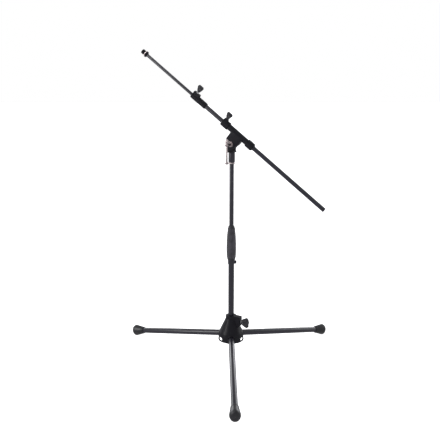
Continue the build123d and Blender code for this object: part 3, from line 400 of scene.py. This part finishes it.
# ------------------------------------------------------------------ hub knob
# A wing knob moulded in black plastic on a steel screw that clamps the lower tube in the hub.
# Its paddle has a raised round pad on each face with a shallow thumb dimple.
PAD_SHARE = 0.30             # pad radius as a share of the wings' span
PAD_HEIGHT = 0.60            # pad centre as a share of the knob's height
PAD_RISE = 0.0011
DIMPLE = 0.0008
CORNER_STEPS = 3
ON_AXIS = 1e-9               # a smaller radius lies on the axis
COARSE_THREAD = (0.00125, 0.0006)    # pitch and depth
UP = Vector((0, 0, 1))

grained = Finish("knob_plastic", Specular_IOR_Level=0.5)
pores = grained.cells(2600)
wear = grained.spread(grained.noise(240, 5.0), 0.58, 0.72)
grained.feed("Base Color", grained.mix(wear, (0.015, 0.015, 0.019, 1), (0.038, 0.038, 0.045, 1)))
grained.feed("Roughness", pores * 0.16 + wear * 0.14 + 0.30)
grained.bump(pores, 0.00006)


def eased(outline, edge, closed):
    """Rounds an outline's corners. Points on the axis stay as they are."""
    line = []
    last = len(outline) - 1
    for i, point in enumerate(outline):
        here = Vector(point)
        if here.y < ON_AXIS or (not closed and i in (0, last)):
            line.append(here)
            continue
        before, after = Vector(outline[i - 1]) - here, Vector(outline[(i + 1) % len(outline)]) - here
        cut = min(edge, 0.45 * before.length, 0.45 * after.length)
        start, end = here + before.normalized() * cut, here + after.normalized() * cut
        for k in range(CORNER_STEPS + 1):
            t = k / CORNER_STEPS
            line.append(start * (1 - t) ** 2 + here * 2 * t * (1 - t) + end * t ** 2)
    return line


def turned(name, origin, axis, outline, edge=0.0003, steps=72, relief=None, closed=None):
    """A piece turned on a lathe about an axis.

    The outline is a loop of (run, radius) points, or a line that starts and ends on the axis.
    relief, if given, adds to the radius at a (run, angle), for knurls, ribs and threads.
    """
    if closed is None:
        closed = min(radius for _, radius in outline) > ON_AXIS
    line = eased(outline, edge, closed)
    side = axis.orthogonal().normalized()
    other = axis.cross(side)
    shell = bmesh.new()
    rings = []
    for run, radius in line:
        if radius < ON_AXIS:
            rings.append([shell.verts.new(origin + axis * run)])
            continue
        ring = []
        for k in range(steps):
            turn = 2 * math.pi * k / steps
            full = radius + (relief(run, turn) if relief else 0)
            ring.append(shell.verts.new(
                origin + axis * run + (side * math.cos(turn) + other * math.sin(turn)) * full
            ))
        rings.append(ring)
    pairs = list(zip(rings, rings[1:])) + ([(rings[-1], rings[0])] if closed else [])
    for first, second in pairs:
        for k in range(steps):
            after = (k + 1) % steps
            corners = [first[k % len(first)], first[after % len(first)],
                       second[after % len(second)], second[k % len(second)]]
            distinct = list(dict.fromkeys(corners))
            if len(distinct) > 2:
                shell.faces.new(distinct)
    bmesh.ops.recalc_face_normals(shell, faces=shell.faces)
    mesh = bpy.data.meshes.new(name)
    shell.to_mesh(mesh)
    shell.free()
    return placed(name, mesh)


def reach_along(node, origin, axis):
    """Where a CAD node starts and ends along an axis, and how far out from it it reaches."""
    points = [vertex.co - origin for vertex in frame["nodes"][node].data.vertices]
    runs = [point.dot(axis) for point in points]
    radius = max((point - axis * run).length for point, run in zip(points, runs))
    return min(runs), max(runs), radius


def joint_axis(name):
    """A joint's place and direction."""
    return Vector(joints[name]["pos_m"]), Vector(joints[name]["axis"]).normalized()


def helix(pitch, depth):
    """Relief of a screw thread: a helical groove of that pitch and depth."""
    def cut(run, turn):
        phase = (run / pitch - turn / (2 * math.pi)) % 1.0
        return -depth * abs(2 * phase - 1)
    return cut


def threaded(name, node, origin, axis, pitch, depth):
    """A threaded rod with chamfered ends, on its CAD node's ends and radius."""
    start, end, radius = reach_along(node, origin, axis)
    count = max(8, round((end - start) / pitch * 8))
    flank = depth * 1.4
    outline = [(start, 0), (start, radius - flank)]
    outline += [(start + flank + (end - start - 2 * flank) * i / count, radius) for i in range(count + 1)]
    outline += [(end, radius - flank), (end, 0)]
    return turned(name, origin, axis, outline, 0.0, 48, helix(pitch, depth))


def wing_knob(name, node, turn_joint, wings):
    """A wing knob on its CAD node's shape: wings is the direction in which its paddle spreads."""
    origin, axis = joint_axis(turn_joint)
    start, end, _ = reach_along(node, origin, axis)
    face = axis.cross(wings)
    low, high, _ = reach_along(node, origin, wings)
    span = high - low
    _, thick, _ = reach_along(node, origin, face)
    centre = origin + axis * (start + PAD_HEIGHT * (end - start)) + wings * (low + high) / 2
    pad_r = PAD_SHARE * span
    crown = 0.95 * thick
    outline = [
        (0, 0), (0, pad_r), (0.6 * thick, pad_r), (crown + PAD_RISE * 0.6, pad_r * 0.93),
        (crown + PAD_RISE, pad_r * 0.80), (crown + PAD_RISE - DIMPLE, 0.35 * pad_r),
        (crown + PAD_RISE - DIMPLE, 0),
    ]
    pads = [turned("pad", centre, side, outline, 0.0004, 40) for side in (face, -face)]
    return cast(name, node, pads, grain=span / 75)


fit(wing_knob("hub_wing", "hub_knob", "hub_knob_turn", UP), "hub_knob", "knob_plastic", grained, "hub_knob")
hub_screw = threaded("hub_wing_screw", "hub_knob_screw", *joint_axis("hub_knob_turn"), *COARSE_THREAD)
fit(hub_screw, "hub_knob", "plain_steel", steel, "hub_knob_screw")

# ------------------------------------------------------------------ legs
# Each leg is a powder-coated steel tube on a cast knuckle that turns on a pin inside the hub,
# with a rubber boot pushed over its end that stands on a small flat under its widest ring.
COLUMN_WALL = 0.0012         # of the legs' and the column's tubes
TUBE_EDGE = 0.0004
BOOT_WALL = 0.0023
BOOT_CONE = 0.2              # how fast the boot widens behind its neck
BOOT_GROOVES = (0.004, 0.007)
GROOVE_DEEP, GROOVE_HALF = 0.0006, 0.0008
BOOT_BROW = 0.002            # from the widest ring back to the cone's end
NOSE_STEPS = 10
SOLE_DIP_R, SOLE_DIP = 0.0028, 0.0008
BOOT_NARROW = -0.10          # the boot's wide end is a little taller than it is wide
BOOT_TALL = 0.05

coated = Finish("powder_coat", Specular_IOR_Level=0.55, Coat_Weight=0.35, Coat_Roughness=0.16)
peel = coated.noise(900, 2.0)
rub = coated.spread(coated.noise(70, 7.0), 0.63, 0.76)
coated.feed("Base Color", coated.mix(rub * 0.5, (0.0100, 0.0088, 0.0160, 1), (0.026, 0.024, 0.036, 1)))
coated.feed("Roughness", peel * 0.10 + rub * 0.16 + 0.28)
coated.bump(peel, 0.00005)

painted = Finish("casting_paint", Specular_IOR_Level=0.30)
lumps = painted.noise(1300, 3.0)
bare = painted.spread(painted.noise(210, 6.0), 0.64, 0.78)
painted.feed("Base Color", painted.mix(bare * 0.6, (0.0050, 0.0046, 0.0080, 1), (0.030, 0.028, 0.036, 1)))
painted.feed("Roughness", lumps * 0.20 + 0.30)
painted.bump(lumps, 0.00010)

boot_rubber = Finish("boot_rubber", Specular_IOR_Level=0.6)
bloom = boot_rubber.noise(60, 5.0)
height = boot_rubber.node("ShaderNodeSeparateXYZ", sockets={"Vector": boot_rubber.place}, output="Z")
dust = boot_rubber.spread(bloom - height * 26, 0.10, 0.62)
boot_rubber.feed("Base Color", boot_rubber.mix(
    dust * 0.55 + bloom * 0.1, (0.0080, 0.0078, 0.0100, 1), (0.050, 0.048, 0.047, 1)
))
boot_rubber.feed("Roughness", bloom * 0.20 + 0.24)
boot_rubber.bump(boot_rubber.noise(1600, 2.0), 0.00006)


def sleeve_line(start, end, bore, radius):
    """The outline of a plain tube, ring or washer."""
    return [(start, bore), (start, radius), (end, radius), (end, bore)]


def tube(name, node, origin, axis, wall):
    """A tube on its CAD node's ends and radius, with its cut ends eased."""
    start, end, radius = reach_along(node, origin, axis)
    return turned(name, origin, axis, sleeve_line(start, end, radius - wall, radius), TUBE_EDGE)


for leg in leg_names:
    pin, run = leg_line(leg)
    body = f"leg_{leg}"
    leg_tube = tube(f"{leg}_leg_tube", f"{body}_tube", pin, run, COLUMN_WALL)
    fit(leg_tube, body, "tube_coat", coated, f"{body}_tube")
    repaint(f"{body}_knuckle", painted)

    start, end, radius = reach_along(f"{body}_boot", pin, run)
    _, widest, tube_r = reach_along(f"{body}_tube", pin, run)
    neck = tube_r + BOOT_WALL
    nose = end - widest
    outline = [(start, tube_r), (start, neck)]
    for place in BOOT_GROOVES:
        middle = start + place
        cone = neck + BOOT_CONE * place
        outline += [(middle - GROOVE_HALF, cone), (middle, cone - GROOVE_DEEP), (middle + GROOVE_HALF, cone)]
    outline.append((widest - BOOT_BROW, radius))
    for k in range(1, NOSE_STEPS + 1):
        turn = math.pi / 2 * k / NOSE_STEPS
        outline.append((widest + nose * math.sin(turn), radius - nose * (1 - math.cos(turn))))
    outline += [(end, 1.25 * SOLE_DIP_R), (end - SOLE_DIP, SOLE_DIP_R), (end - SOLE_DIP, 0)]
    outline += [(widest, 0), (widest, tube_r)]
    boot = turned(f"{leg}_boot", pin, run, outline, 0.0006, 96, closed=True)
    flat = run.cross(UP).normalized()
    tall = flat.cross(run)
    for vertex in boot.data.vertices:
        out = vertex.co - pin
        grow = max(0.0, min(1.0, (out.dot(run) - start) / (widest - start)))
        vertex.co += flat * out.dot(flat) * BOOT_NARROW * grow + tall * out.dot(tall) * BOOT_TALL * grow
        vertex.co.z = max(vertex.co.z, 0.0)
    fit(boot, body, "boot_rubber", boot_rubber, f"{body}_boot")

# ------------------------------------------------------------------ lower column
# A powder-coated steel tube slides in the hub, with a stop ring on its foot.  A coated collar on
# its top end is held by a small pan-head screw in a lug, and carries the thread of the grip.
GROUND = Vector((0, 0, 0))
STOP_EDGE = 0.001
HEAD_RISE = 0.0018
lower_tube = tube("lower_column", "lower_tube", GROUND, UP, COLUMN_WALL)
fit(lower_tube, "column", "tube_coat", coated, "lower_tube")
start, end, radius = reach_along("lower_stop_ring", GROUND, UP)
_, _, lower_r = reach_along("lower_tube", GROUND, UP)
stop = turned("stop_ring", GROUND, UP, sleeve_line(start, end, lower_r, radius), STOP_EDGE)
fit(stop, "column", "cast_black", painted, "lower_stop_ring")
collar = cast("clutch_collar_casting", "clutch_collar", grain=0.0004)
fit(collar, "column", "cast_black", coated, "clutch_collar")


def slotted_head(name, origin, axis, base, radius, rise):
    """A pan head with a driver slot across it."""
    head = turned(name, origin, axis, [
        (base, 0), (base, radius), (base + 0.45 * rise, radius), (base + 0.9 * rise, 0.75 * radius),
        (base + rise, 0.4 * radius), (base + rise, 0),
    ], 0.25 * radius, 40)
    slot = bpy.data.meshes.new("slot")
    knife = bmesh.new()
    bmesh.ops.create_cube(knife, size=1.0)
    knife.to_mesh(slot)
    knife.free()
    cutter = bpy.data.objects.new("slot", slot)
    bpy.context.scene.collection.objects.link(cutter)
    cutter.rotation_mode = "QUATERNION"
    cutter.rotation_quaternion = axis.to_track_quat("Z", "Y")
    cutter.scale = (0.28 * radius, 2.4 * radius, rise)
    cutter.location = origin + axis * (base + rise * 1.02)
    bpy.context.view_layer.update()
    cut = head.modifiers.new("slot", "BOOLEAN")
    cut.object = cutter
    settled(head)
    bpy.data.objects.remove(cutter)
    return head


low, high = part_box("clutch_collar_screw")
screw_origin = Vector((0, 0, (low.z + high.z) / 2))
outwards = Vector((1, 0, 0))
start, end, radius = reach_along("clutch_collar_screw", screw_origin, outwards)
head = slotted_head("collar_screw_head", screw_origin, outwards, end - HEAD_RISE, radius, HEAD_RISE)
fit(head, "column", "plain_steel", steel, "clutch_collar_screw")

# ------------------------------------------------------------------ twist grip
# A hard plastic core with a soft rubber sleeve over it turns on the collar's thread and squeezes
# the collet round the upper tube.  The sleeve swells in the middle and has fine lengthwise ribs.
GRIP_RIBS = 36
GRIP_RIB = 0.00022
RIB_FADE = 0.12              # share of the sleeve over which the ribs fade at each end
CORE_R = 0.0122
CORE_TIP_R = 0.0096
CORE_WALL = 0.002
CORE_POCKET = 0.012          # depth of the mouth round the upper tube
TUBE_PLAY = 0.0003
SLEEVE_STEPS = 44
WAIST_R, SHOULDER_R = 0.0150, 0.0128     # the sleeve's radius at its foot and at its top
SWELL_BASE_R = 0.0144
SWELL_END = 0.92             # where the swell ends, as a share of the sleeve's length

sleeve_rubber = Finish(
    "grip_rubber", Specular_IOR_Level=0.35, Sheen_Weight=0.25, Sheen_Roughness=0.5
)
mottle = sleeve_rubber.noise(85, 5.0)
skin = sleeve_rubber.noise(1500, 3.0)
sleeve_rubber.feed("Base Color", sleeve_rubber.mix(
    sleeve_rubber.spread(mottle, 0.35, 0.68), (0.018, 0.0165, 0.0225, 1), (0.036, 0.033, 0.043, 1)
))
sleeve_rubber.feed("Roughness", mottle * 0.25 + 0.48)
sleeve_rubber.bump(skin + mottle * 0.4, 0.00016)

low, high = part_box("grip_core")
foot_r = high.x
sleeve_low, sleeve_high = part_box("grip_sleeve")
belly = sleeve_high.x
upper_r = reach_along("upper_tube", GROUND, UP)[2]
mouth_r = upper_r + TUBE_PLAY
core = turned("grip_core_body", GROUND, UP, [
    (low.z, CORE_R - CORE_WALL), (low.z, foot_r), (sleeve_low.z - 0.0008, foot_r),
    (sleeve_low.z - 0.0002, CORE_R), (sleeve_high.z - 0.0005, CORE_R),
    (sleeve_high.z + 0.003, CORE_R - 0.0006), (high.z - 0.001, CORE_TIP_R + 0.0006),
    (high.z, CORE_TIP_R - 0.0008), (high.z, mouth_r), (high.z - CORE_POCKET, mouth_r),
    (high.z - CORE_POCKET, CORE_R - CORE_WALL),
], 0.0006)
fit(core, "grip", "moulded_black", grained, "grip_core")


def grip_profile(share):
    """The sleeve's radius from its foot, at 0, to its shoulder, at 1."""
    swell = math.sin(math.pi * min(1.0, share / SWELL_END)) ** 0.62
    return WAIST_R + (SHOULDER_R - WAIST_R) * share ** 1.6 + (belly - SWELL_BASE_R) * swell


def grip_ribs(run, turn):
    """Relief of the sleeve's lengthwise ribs."""
    share = (run - sleeve_low.z) / (sleeve_high.z - sleeve_low.z)
    fade = min(1.0, share / RIB_FADE, (1 - share) / RIB_FADE)
    return -GRIP_RIB * max(0.0, fade) * (0.5 + 0.5 * math.cos(GRIP_RIBS * turn)) ** 2


outline = [(sleeve_low.z, CORE_R)]
for k in range(SLEEVE_STEPS + 1):
    share = k / SLEEVE_STEPS
    outline.append((sleeve_low.z + (sleeve_high.z - sleeve_low.z) * share, grip_profile(share)))
outline.append((sleeve_high.z, CORE_R))
sleeve = turned("grip_sleeve_body", GROUND, UP, outline, 0.0006, 6 * GRIP_RIBS, grip_ribs)
fit(sleeve, "grip", "grip_rubber", sleeve_rubber, "grip_sleeve")
repaint("clutch_collet", liner)

# ------------------------------------------------------------------ upper column
# A powder-coated steel tube telescopes in the lower one on a nylon bush.  A chromed spigot with a
# flange is pressed in its top.
SEAT_GAP = 0.00002           # between pieces that are pressed home
SPIGOT_R = 0.0047

chrome = Finish("chrome_plate", Metallic=1.0)
smear = chrome.noise(55, 6.0, (1.0, 1.0, 2.5))
chrome.feed("Base Color", chrome.mix(smear, (0.56, 0.48, 0.48, 1), (0.70, 0.62, 0.62, 1)))
chrome.feed("Roughness", chrome.spread(smear, 0.42, 0.75) * 0.16 + 0.12)
chrome.bump(chrome.noise(700, 2.0), 0.000008)

upper_tube = tube("upper_column", "upper_tube", GROUND, UP, COLUMN_WALL)
fit(upper_tube, "upper", "tube_coat", coated, "upper_tube")
repaint("upper_tube_bush", liner)
start, end, radius = reach_along("top_spigot", GROUND, UP)
flange_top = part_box("head_sleeve")[0].z - SEAT_GAP
flange_foot = reach_along("upper_tube", GROUND, UP)[1]
plug_r = upper_r - COLUMN_WALL - 0.0001
spigot = turned("chrome_flange", GROUND, UP, [
    (start, 0), (start, plug_r), (flange_foot, plug_r), (flange_foot, radius - 0.0006),
    (flange_foot + 0.0012, radius), (flange_top - 0.0022, radius), (flange_top - 0.0014, radius - 0.0012),
    (flange_top, radius - 0.0013), (flange_top, SPIGOT_R), (end, SPIGOT_R), (end, 0),
], 0.0005, 96)
fit(spigot, "upper", "bright_chrome", chrome, "top_spigot")

# ------------------------------------------------------------------ head
# A cast and painted stem stands on the spigot inside a bevelled sleeve in gloss black.  Its tongue
# goes up between the boom holder's cheeks, with a nylon friction washer on each side.
STEM_R = 0.00802
SLEEVE_BEVEL = 0.0016
SLEEVE_FOOT = 0.0005

start, end, radius = reach_along("head_sleeve", GROUND, UP)
head_sleeve = turned("stem_sleeve", GROUND, UP, [
    (start, STEM_R), (start, radius - SLEEVE_FOOT), (start + SLEEVE_FOOT, radius),
    (end - SLEEVE_BEVEL, radius), (end, radius - SLEEVE_BEVEL), (end, STEM_R),
], 0.0003, 96)
fit(head_sleeve, "upper", "moulded_black", coated, "head_sleeve")
fit(cast("stem_casting", "head_stem"), "upper", "cast_black", painted, "head_stem")
repaint("friction_washers", liner)

# ------------------------------------------------------------------ boom holder
# One painted casting: a fork that turns about the stem's tongue and a guide tube for the boom, with
# a moulded ring round each end of the guide tube.  A steel nut trapped behind it takes the screw.
BOSS_R = 0.0125
BOSS_DEEP = 0.004
SCREW_HOLE_R = 0.0052
GUIDE_R = 0.01027
GROOVE_AT = 0.0052           # the rear ring's groove, from its front end
GROOVE_WIDE = 0.0016
GROOVE_IN = 0.0005
RING_EDGE = 0.0008
HEX = 6
NUT_BEVEL = 0.0006

pivot, screw_axis = joint_axis("clamp_screw_turn")
boom_at, boom_axis = joint_axis("boom_roll")
rise = (boom_at - pivot).normalized()
_, cheek, _ = reach_along("boom_holder", pivot, screw_axis)
boss_line = sleeve_line(cheek - BOSS_DEEP, cheek + 0.0001, SCREW_HOLE_R, BOSS_R)
bosses = [turned("boss", pivot, side, boss_line, 0.0003, 48) for side in (screw_axis, -screw_axis)]
holder = cast("holder_casting", "boom_holder", bosses, grain=0.0006, keep=0.45)
fit(holder, "holder", "cast_black", painted, "boom_holder")
front_ring = cast("front_collar", "holder_front_collar")
fit(front_ring, "holder", "moulded_black", moulded, "holder_front_collar")
start, end, radius = reach_along("holder_rear_collar", boom_at, boom_axis)
groove, groove_end = start + GROOVE_AT, start + GROOVE_AT + GROOVE_WIDE
slope = GROOVE_WIDE / 4
rear_ring = turned("rear_collar", boom_at, boom_axis, [
    (start, GUIDE_R), (start, radius - RING_EDGE), (start + RING_EDGE, radius), (groove, radius),
    (groove + slope, radius - GROOVE_IN), (groove_end - slope, radius - GROOVE_IN), (groove_end, radius),
    (end - RING_EDGE, radius), (end, radius - RING_EDGE), (end, GUIDE_R),
], 0.0003, 96)
fit(rear_ring, "holder", "moulded_black", moulded, "holder_rear_collar")

nut_start, nut_end, nut_r = reach_along("clamp_nut", pivot, -screw_axis)
nut_shell = bmesh.new()
other = screw_axis.cross(rise)
for run in (nut_start, nut_end):
    ring = []
    for k in range(HEX):
        turn = 2 * math.pi * (k + 0.5) / HEX
        out = rise * math.cos(turn) + other * math.sin(turn)
        ring.append(nut_shell.verts.new(pivot - screw_axis * run + out * nut_r))
    nut_shell.faces.new(ring)
nut_shell.verts.ensure_lookup_table()
for k in range(HEX):
    after = (k + 1) % HEX
    nut_shell.faces.new([nut_shell.verts[i] for i in (k, after, HEX + after, HEX + k)])
bmesh.ops.recalc_face_normals(nut_shell, faces=nut_shell.faces)
bmesh.ops.bevel(
    nut_shell, geom=nut_shell.edges[:], offset=NUT_BEVEL, segments=3, affect="EDGES", profile=0.5
)
nut_mesh = bpy.data.meshes.new("clamp_nut_hex")
nut_shell.to_mesh(nut_mesh)
nut_shell.free()
fit(placed("clamp_nut_hex", nut_mesh), "holder", "plain_steel", steel, "clamp_nut")

# ------------------------------------------------------------------ clamp screw and T-bar
# A chromed steel screw clamps the head.  A loose bar with a domed cap and a button cap slides in
# a cross hole through it, and turns it like a tommy bar.
SHANK_R = 0.005
THREAD_PLAY = 0.0001         # the threaded end is this much thinner, to run in the nut
SHANK_TIP = 0.0008
RING_R, RING_T = 0.0072, 0.0032
NECK_AT = 0.0068             # a shallow neck on the shank, from the bar's axis
NECK_HALF, NECK_DEEP = 0.0007, 0.0005
DOME_EDGE, DOME_FALL = 0.0012, 0.0014
DRILL_R, DRILL_HALF = 0.0028, 0.012
BAR_EDGE = 0.0006
DOME_STEPS = 8

_, washer_end, _ = reach_along("clamp_washer", pivot, screw_axis)
start, end, _ = reach_along("clamp_screw", pivot, screw_axis)
bar_low, bar_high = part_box("t_bar")
bar_at = (bar_low + bar_high) / 2
neck = (bar_at - pivot).dot(screw_axis) - NECK_AT
nut_face = -nut_end
shank = turned("clamp_screw_body", pivot, screw_axis, [
    (start, 0), (start, SHANK_R - SHANK_TIP), (start + SHANK_TIP, SHANK_R - THREAD_PLAY),
    (nut_face, SHANK_R - THREAD_PLAY), (nut_face + 2 * THREAD_PLAY, SHANK_R), (washer_end, SHANK_R),
    (washer_end, RING_R), (washer_end + RING_T, RING_R), (washer_end + RING_T, SHANK_R),
    (neck - NECK_HALF, SHANK_R), (neck, SHANK_R - NECK_DEEP), (neck + NECK_HALF, SHANK_R),
    (end - DOME_EDGE, SHANK_R), (end, SHANK_R - DOME_FALL), (end, 0),
], 0.0004, 64)
drill_line = [(-DRILL_HALF, 0), (-DRILL_HALF, DRILL_R), (DRILL_HALF, DRILL_R), (DRILL_HALF, 0)]
drill = turned("drill", bar_at, UP, drill_line, 0.0, 48)
hole = shank.modifiers.new("cross_hole", "BOOLEAN")
hole.object = drill
settled(shank)
bpy.data.objects.remove(drill)
fit(shank, "clamp_screw", "bright_chrome", chrome, "clamp_screw")
start, end, radius = reach_along("clamp_washer", pivot, screw_axis)
washer = turned("chrome_washer", pivot, screw_axis, [
    (start, SHANK_R), (start, radius), (end, radius - 0.0003), (end, SHANK_R),
], 0.0004, 64)
fit(washer, "clamp_screw", "bright_chrome", chrome, "clamp_washer")

bar_foot = Vector((bar_at.x, bar_at.y, 0))
start, end, radius = reach_along("t_bar", bar_foot, UP)
bar = turned("t_bar_rod", bar_foot, UP, sleeve_line(start, end, 0, radius), BAR_EDGE, 48)
fit(bar, "t_bar", "bright_chrome", chrome, "t_bar")
start, end, radius = reach_along("t_bar_top_cap", bar_foot, UP)
tall = end - start
dome = [(start, 0), (start, 0.78 * radius)]
dome += [(start + 0.10 * tall, 0.95 * radius), (start + 0.22 * tall, radius)]
for k in range(DOME_STEPS + 1):
    turn = math.pi / 2 * k / DOME_STEPS
    dome.append((start + tall * (0.55 + 0.45 * math.sin(turn)), radius * math.cos(turn) ** 0.8))
dome[-1] = (end, 0)
fit(turned("t_bar_dome", bar_foot, UP, dome, 0.0003, 64), "t_bar", "bright_chrome", chrome, "t_bar_top_cap")
start, end, radius = reach_along("t_bar_bottom_cap", bar_foot, UP)
tall = end - start
button = turned("t_bar_button", bar_foot, UP, [
    (start, 0), (start, 0.62 * radius), (start + 0.22 * tall, 0.92 * radius), (start + 0.45 * tall, radius),
    (start + 0.72 * tall, radius), (start + 0.86 * tall, 0.86 * radius), (end, 0.6 * radius), (end, 0),
], 0.0007, 64)
fit(button, "t_bar", "bright_chrome", chrome, "t_bar_bottom_cap")

# ------------------------------------------------------------------ boom clamp knob
# A small wing knob moulded in black plastic on a steel screw.  The screw runs in the front ring
# and presses the nylon liner there on the boom tube.
FINE_THREAD = (0.0008, 0.0004)       # pitch and depth

boom_wing = wing_knob("boom_wing", "boom_knob", "boom_knob_turn", boom_axis)
fit(boom_wing, "boom_knob", "knob_plastic", grained, "boom_knob")
boom_screw = threaded("boom_wing_screw", "boom_knob_screw", *joint_axis("boom_knob_turn"), *FINE_THREAD)
fit(boom_screw, "boom_knob", "plain_steel", steel, "boom_knob_screw")
repaint("boom_front_bush", liner)
repaint("boom_rear_bush", liner)

# ------------------------------------------------------------------ boom tube
# The main boom tube, in powder-coated steel, closed behind by a plug set into its end.  The moulded
# extension clamp is pressed on its front end, and has an ear on each side of its screw's boss.
BOOM_WALL = 0.001            # of the boom's two tubes
PLUG_EDGE, PLUG_CROWN = 0.0006, 0.0008
PLUG_DIP_R, PLUG_DIP = 0.0024, 0.0009
EAR_SHIFT = 0.0085           # from the screw's axis, along the boom
EAR_HALF = 0.0042
EAR_SINK = 0.0018
EARS = ((-EAR_SHIFT, 0.0042), (EAR_SHIFT, 0.0036))   # where each stands, and its radius

boom_tube = tube("boom_main_tube", "boom_tube", boom_at, boom_axis, BOOM_WALL)
fit(boom_tube, "boom", "tube_coat", coated, "boom_tube")
start, end, radius = reach_along("boom_rear_plug", boom_at, boom_axis)
plug = turned("boom_end_plug", boom_at, boom_axis, [
    (start, 0), (start, radius), (end - PLUG_EDGE, radius), (end, radius - PLUG_CROWN),
    (end, 1.25 * PLUG_DIP_R), (end - PLUG_DIP, PLUG_DIP_R), (end - PLUG_DIP, 0),
], 0.0003, 48)
fit(plug, "boom", "moulded_black", moulded, "boom_rear_plug")

knob_at, knob_axis = joint_axis("extension_knob_turn")
_, boss_top, _ = reach_along("extension_clamp", knob_at, knob_axis)
across = knob_axis.cross(boom_axis)
ears = []
for shift, ear_r in EARS:
    foot = knob_at + boom_axis * shift + knob_axis * (boss_top - EAR_SINK)
    ears.append(turned("ear", foot, across, sleeve_line(-EAR_HALF, EAR_HALF, 0, ear_r), 0.001, 32))
clamp = cast("extension_clamp_body", "extension_clamp", ears, grain=0.0005)
fit(clamp, "boom", "moulded_black", moulded, "extension_clamp")
extension_wing = wing_knob("extension_wing", "extension_knob", "extension_knob_turn", boom_axis)
fit(extension_wing, "extension_knob", "knob_plastic", grained, "extension_knob")
extension_screw = threaded("extension_wing_screw", "extension_knob_screw", knob_at, knob_axis, *FINE_THREAD)
fit(extension_screw, "extension_knob", "plain_steel", steel, "extension_knob_screw")
repaint("extension_bush", liner)

# ------------------------------------------------------------------ extension rod and tip
# The thin rod of coated steel slides out of the boom.  On its tip are a cast flange with a neck, a
# knurled chromed lock ring, and a blacked steel stud with the standard microphone thread.
FLANGE_BACK = 0.0024         # how far the flange's neck reaches back over the rod
NECK_WALL = 0.0014
FLANGE_NECK = 0.0004
MICROPHONE_THREAD = (0.0254 / 27, 0.00055)   # 27 turns to the inch, and its depth
KNURL_TEETH = 48
KNURL_DEEP = 0.0004
KNURL_MARGIN = 0.0005

rod = tube("extension_rod", "extension_tube", boom_at, boom_axis, BOOM_WALL)
fit(rod, "extension", "tube_coat", coated, "extension_tube")
repaint("extension_inner_bush", liner)
tip_axis = -boom_axis
start, end, radius = reach_along("tip_flange", boom_at, tip_axis)
_, rod_end, rod_r = reach_along("extension_tube", boom_at, tip_axis)
plug_r = rod_r - BOOM_WALL - 0.00005
flange = turned("tip_flange_casting", boom_at, tip_axis, [
    (start, 0), (start, plug_r), (rod_end + SEAT_GAP, plug_r), (rod_end + SEAT_GAP, rod_r + SEAT_GAP),
    (rod_end - FLANGE_BACK, rod_r + SEAT_GAP), (rod_end - FLANGE_BACK, rod_r + NECK_WALL),
    (rod_end + FLANGE_NECK, rod_r + NECK_WALL), (rod_end + 2 * FLANGE_NECK, radius),
    (end, radius), (end, 0),
], 0.0004, 72)
fit(flange, "extension", "cast_black", painted, "tip_flange")
stud = threaded("microphone_thread_stud", "tip_stud", boom_at, tip_axis, *MICROPHONE_THREAD)
oxide = Finish("black_oxide", Metallic=1.0, Base_Color=(0.055, 0.055, 0.06, 1))
oxide.feed("Roughness", oxide.noise(500, 3.0) * 0.3 + 0.25)
fit(stud, "extension", "cast_black", oxide, "tip_stud")
stud_r = reach_along("tip_stud", boom_at, tip_axis)[2]
start, end, ring_r = reach_along("lock_ring", boom_at, tip_axis)


def knurl(run, turn):
    """Relief of the lock ring's knurled rim, with a plain margin at each end."""
    if start + KNURL_MARGIN < run < end - KNURL_MARGIN:
        return -KNURL_DEEP * (0.5 + 0.5 * math.cos(KNURL_TEETH * turn))
    return -KNURL_DEEP


ring = turned("lock_ring_nut", boom_at, tip_axis, [
    (start, stud_r), (start, ring_r - 0.0004), (start + 0.0007, ring_r), (end - 0.0007, ring_r),
    (end, ring_r - 0.0004), (end, stud_r),
], 0.0003, 4 * KNURL_TEETH, knurl)
fit(ring, "lock_ring", "bright_chrome", chrome, "lock_ring")
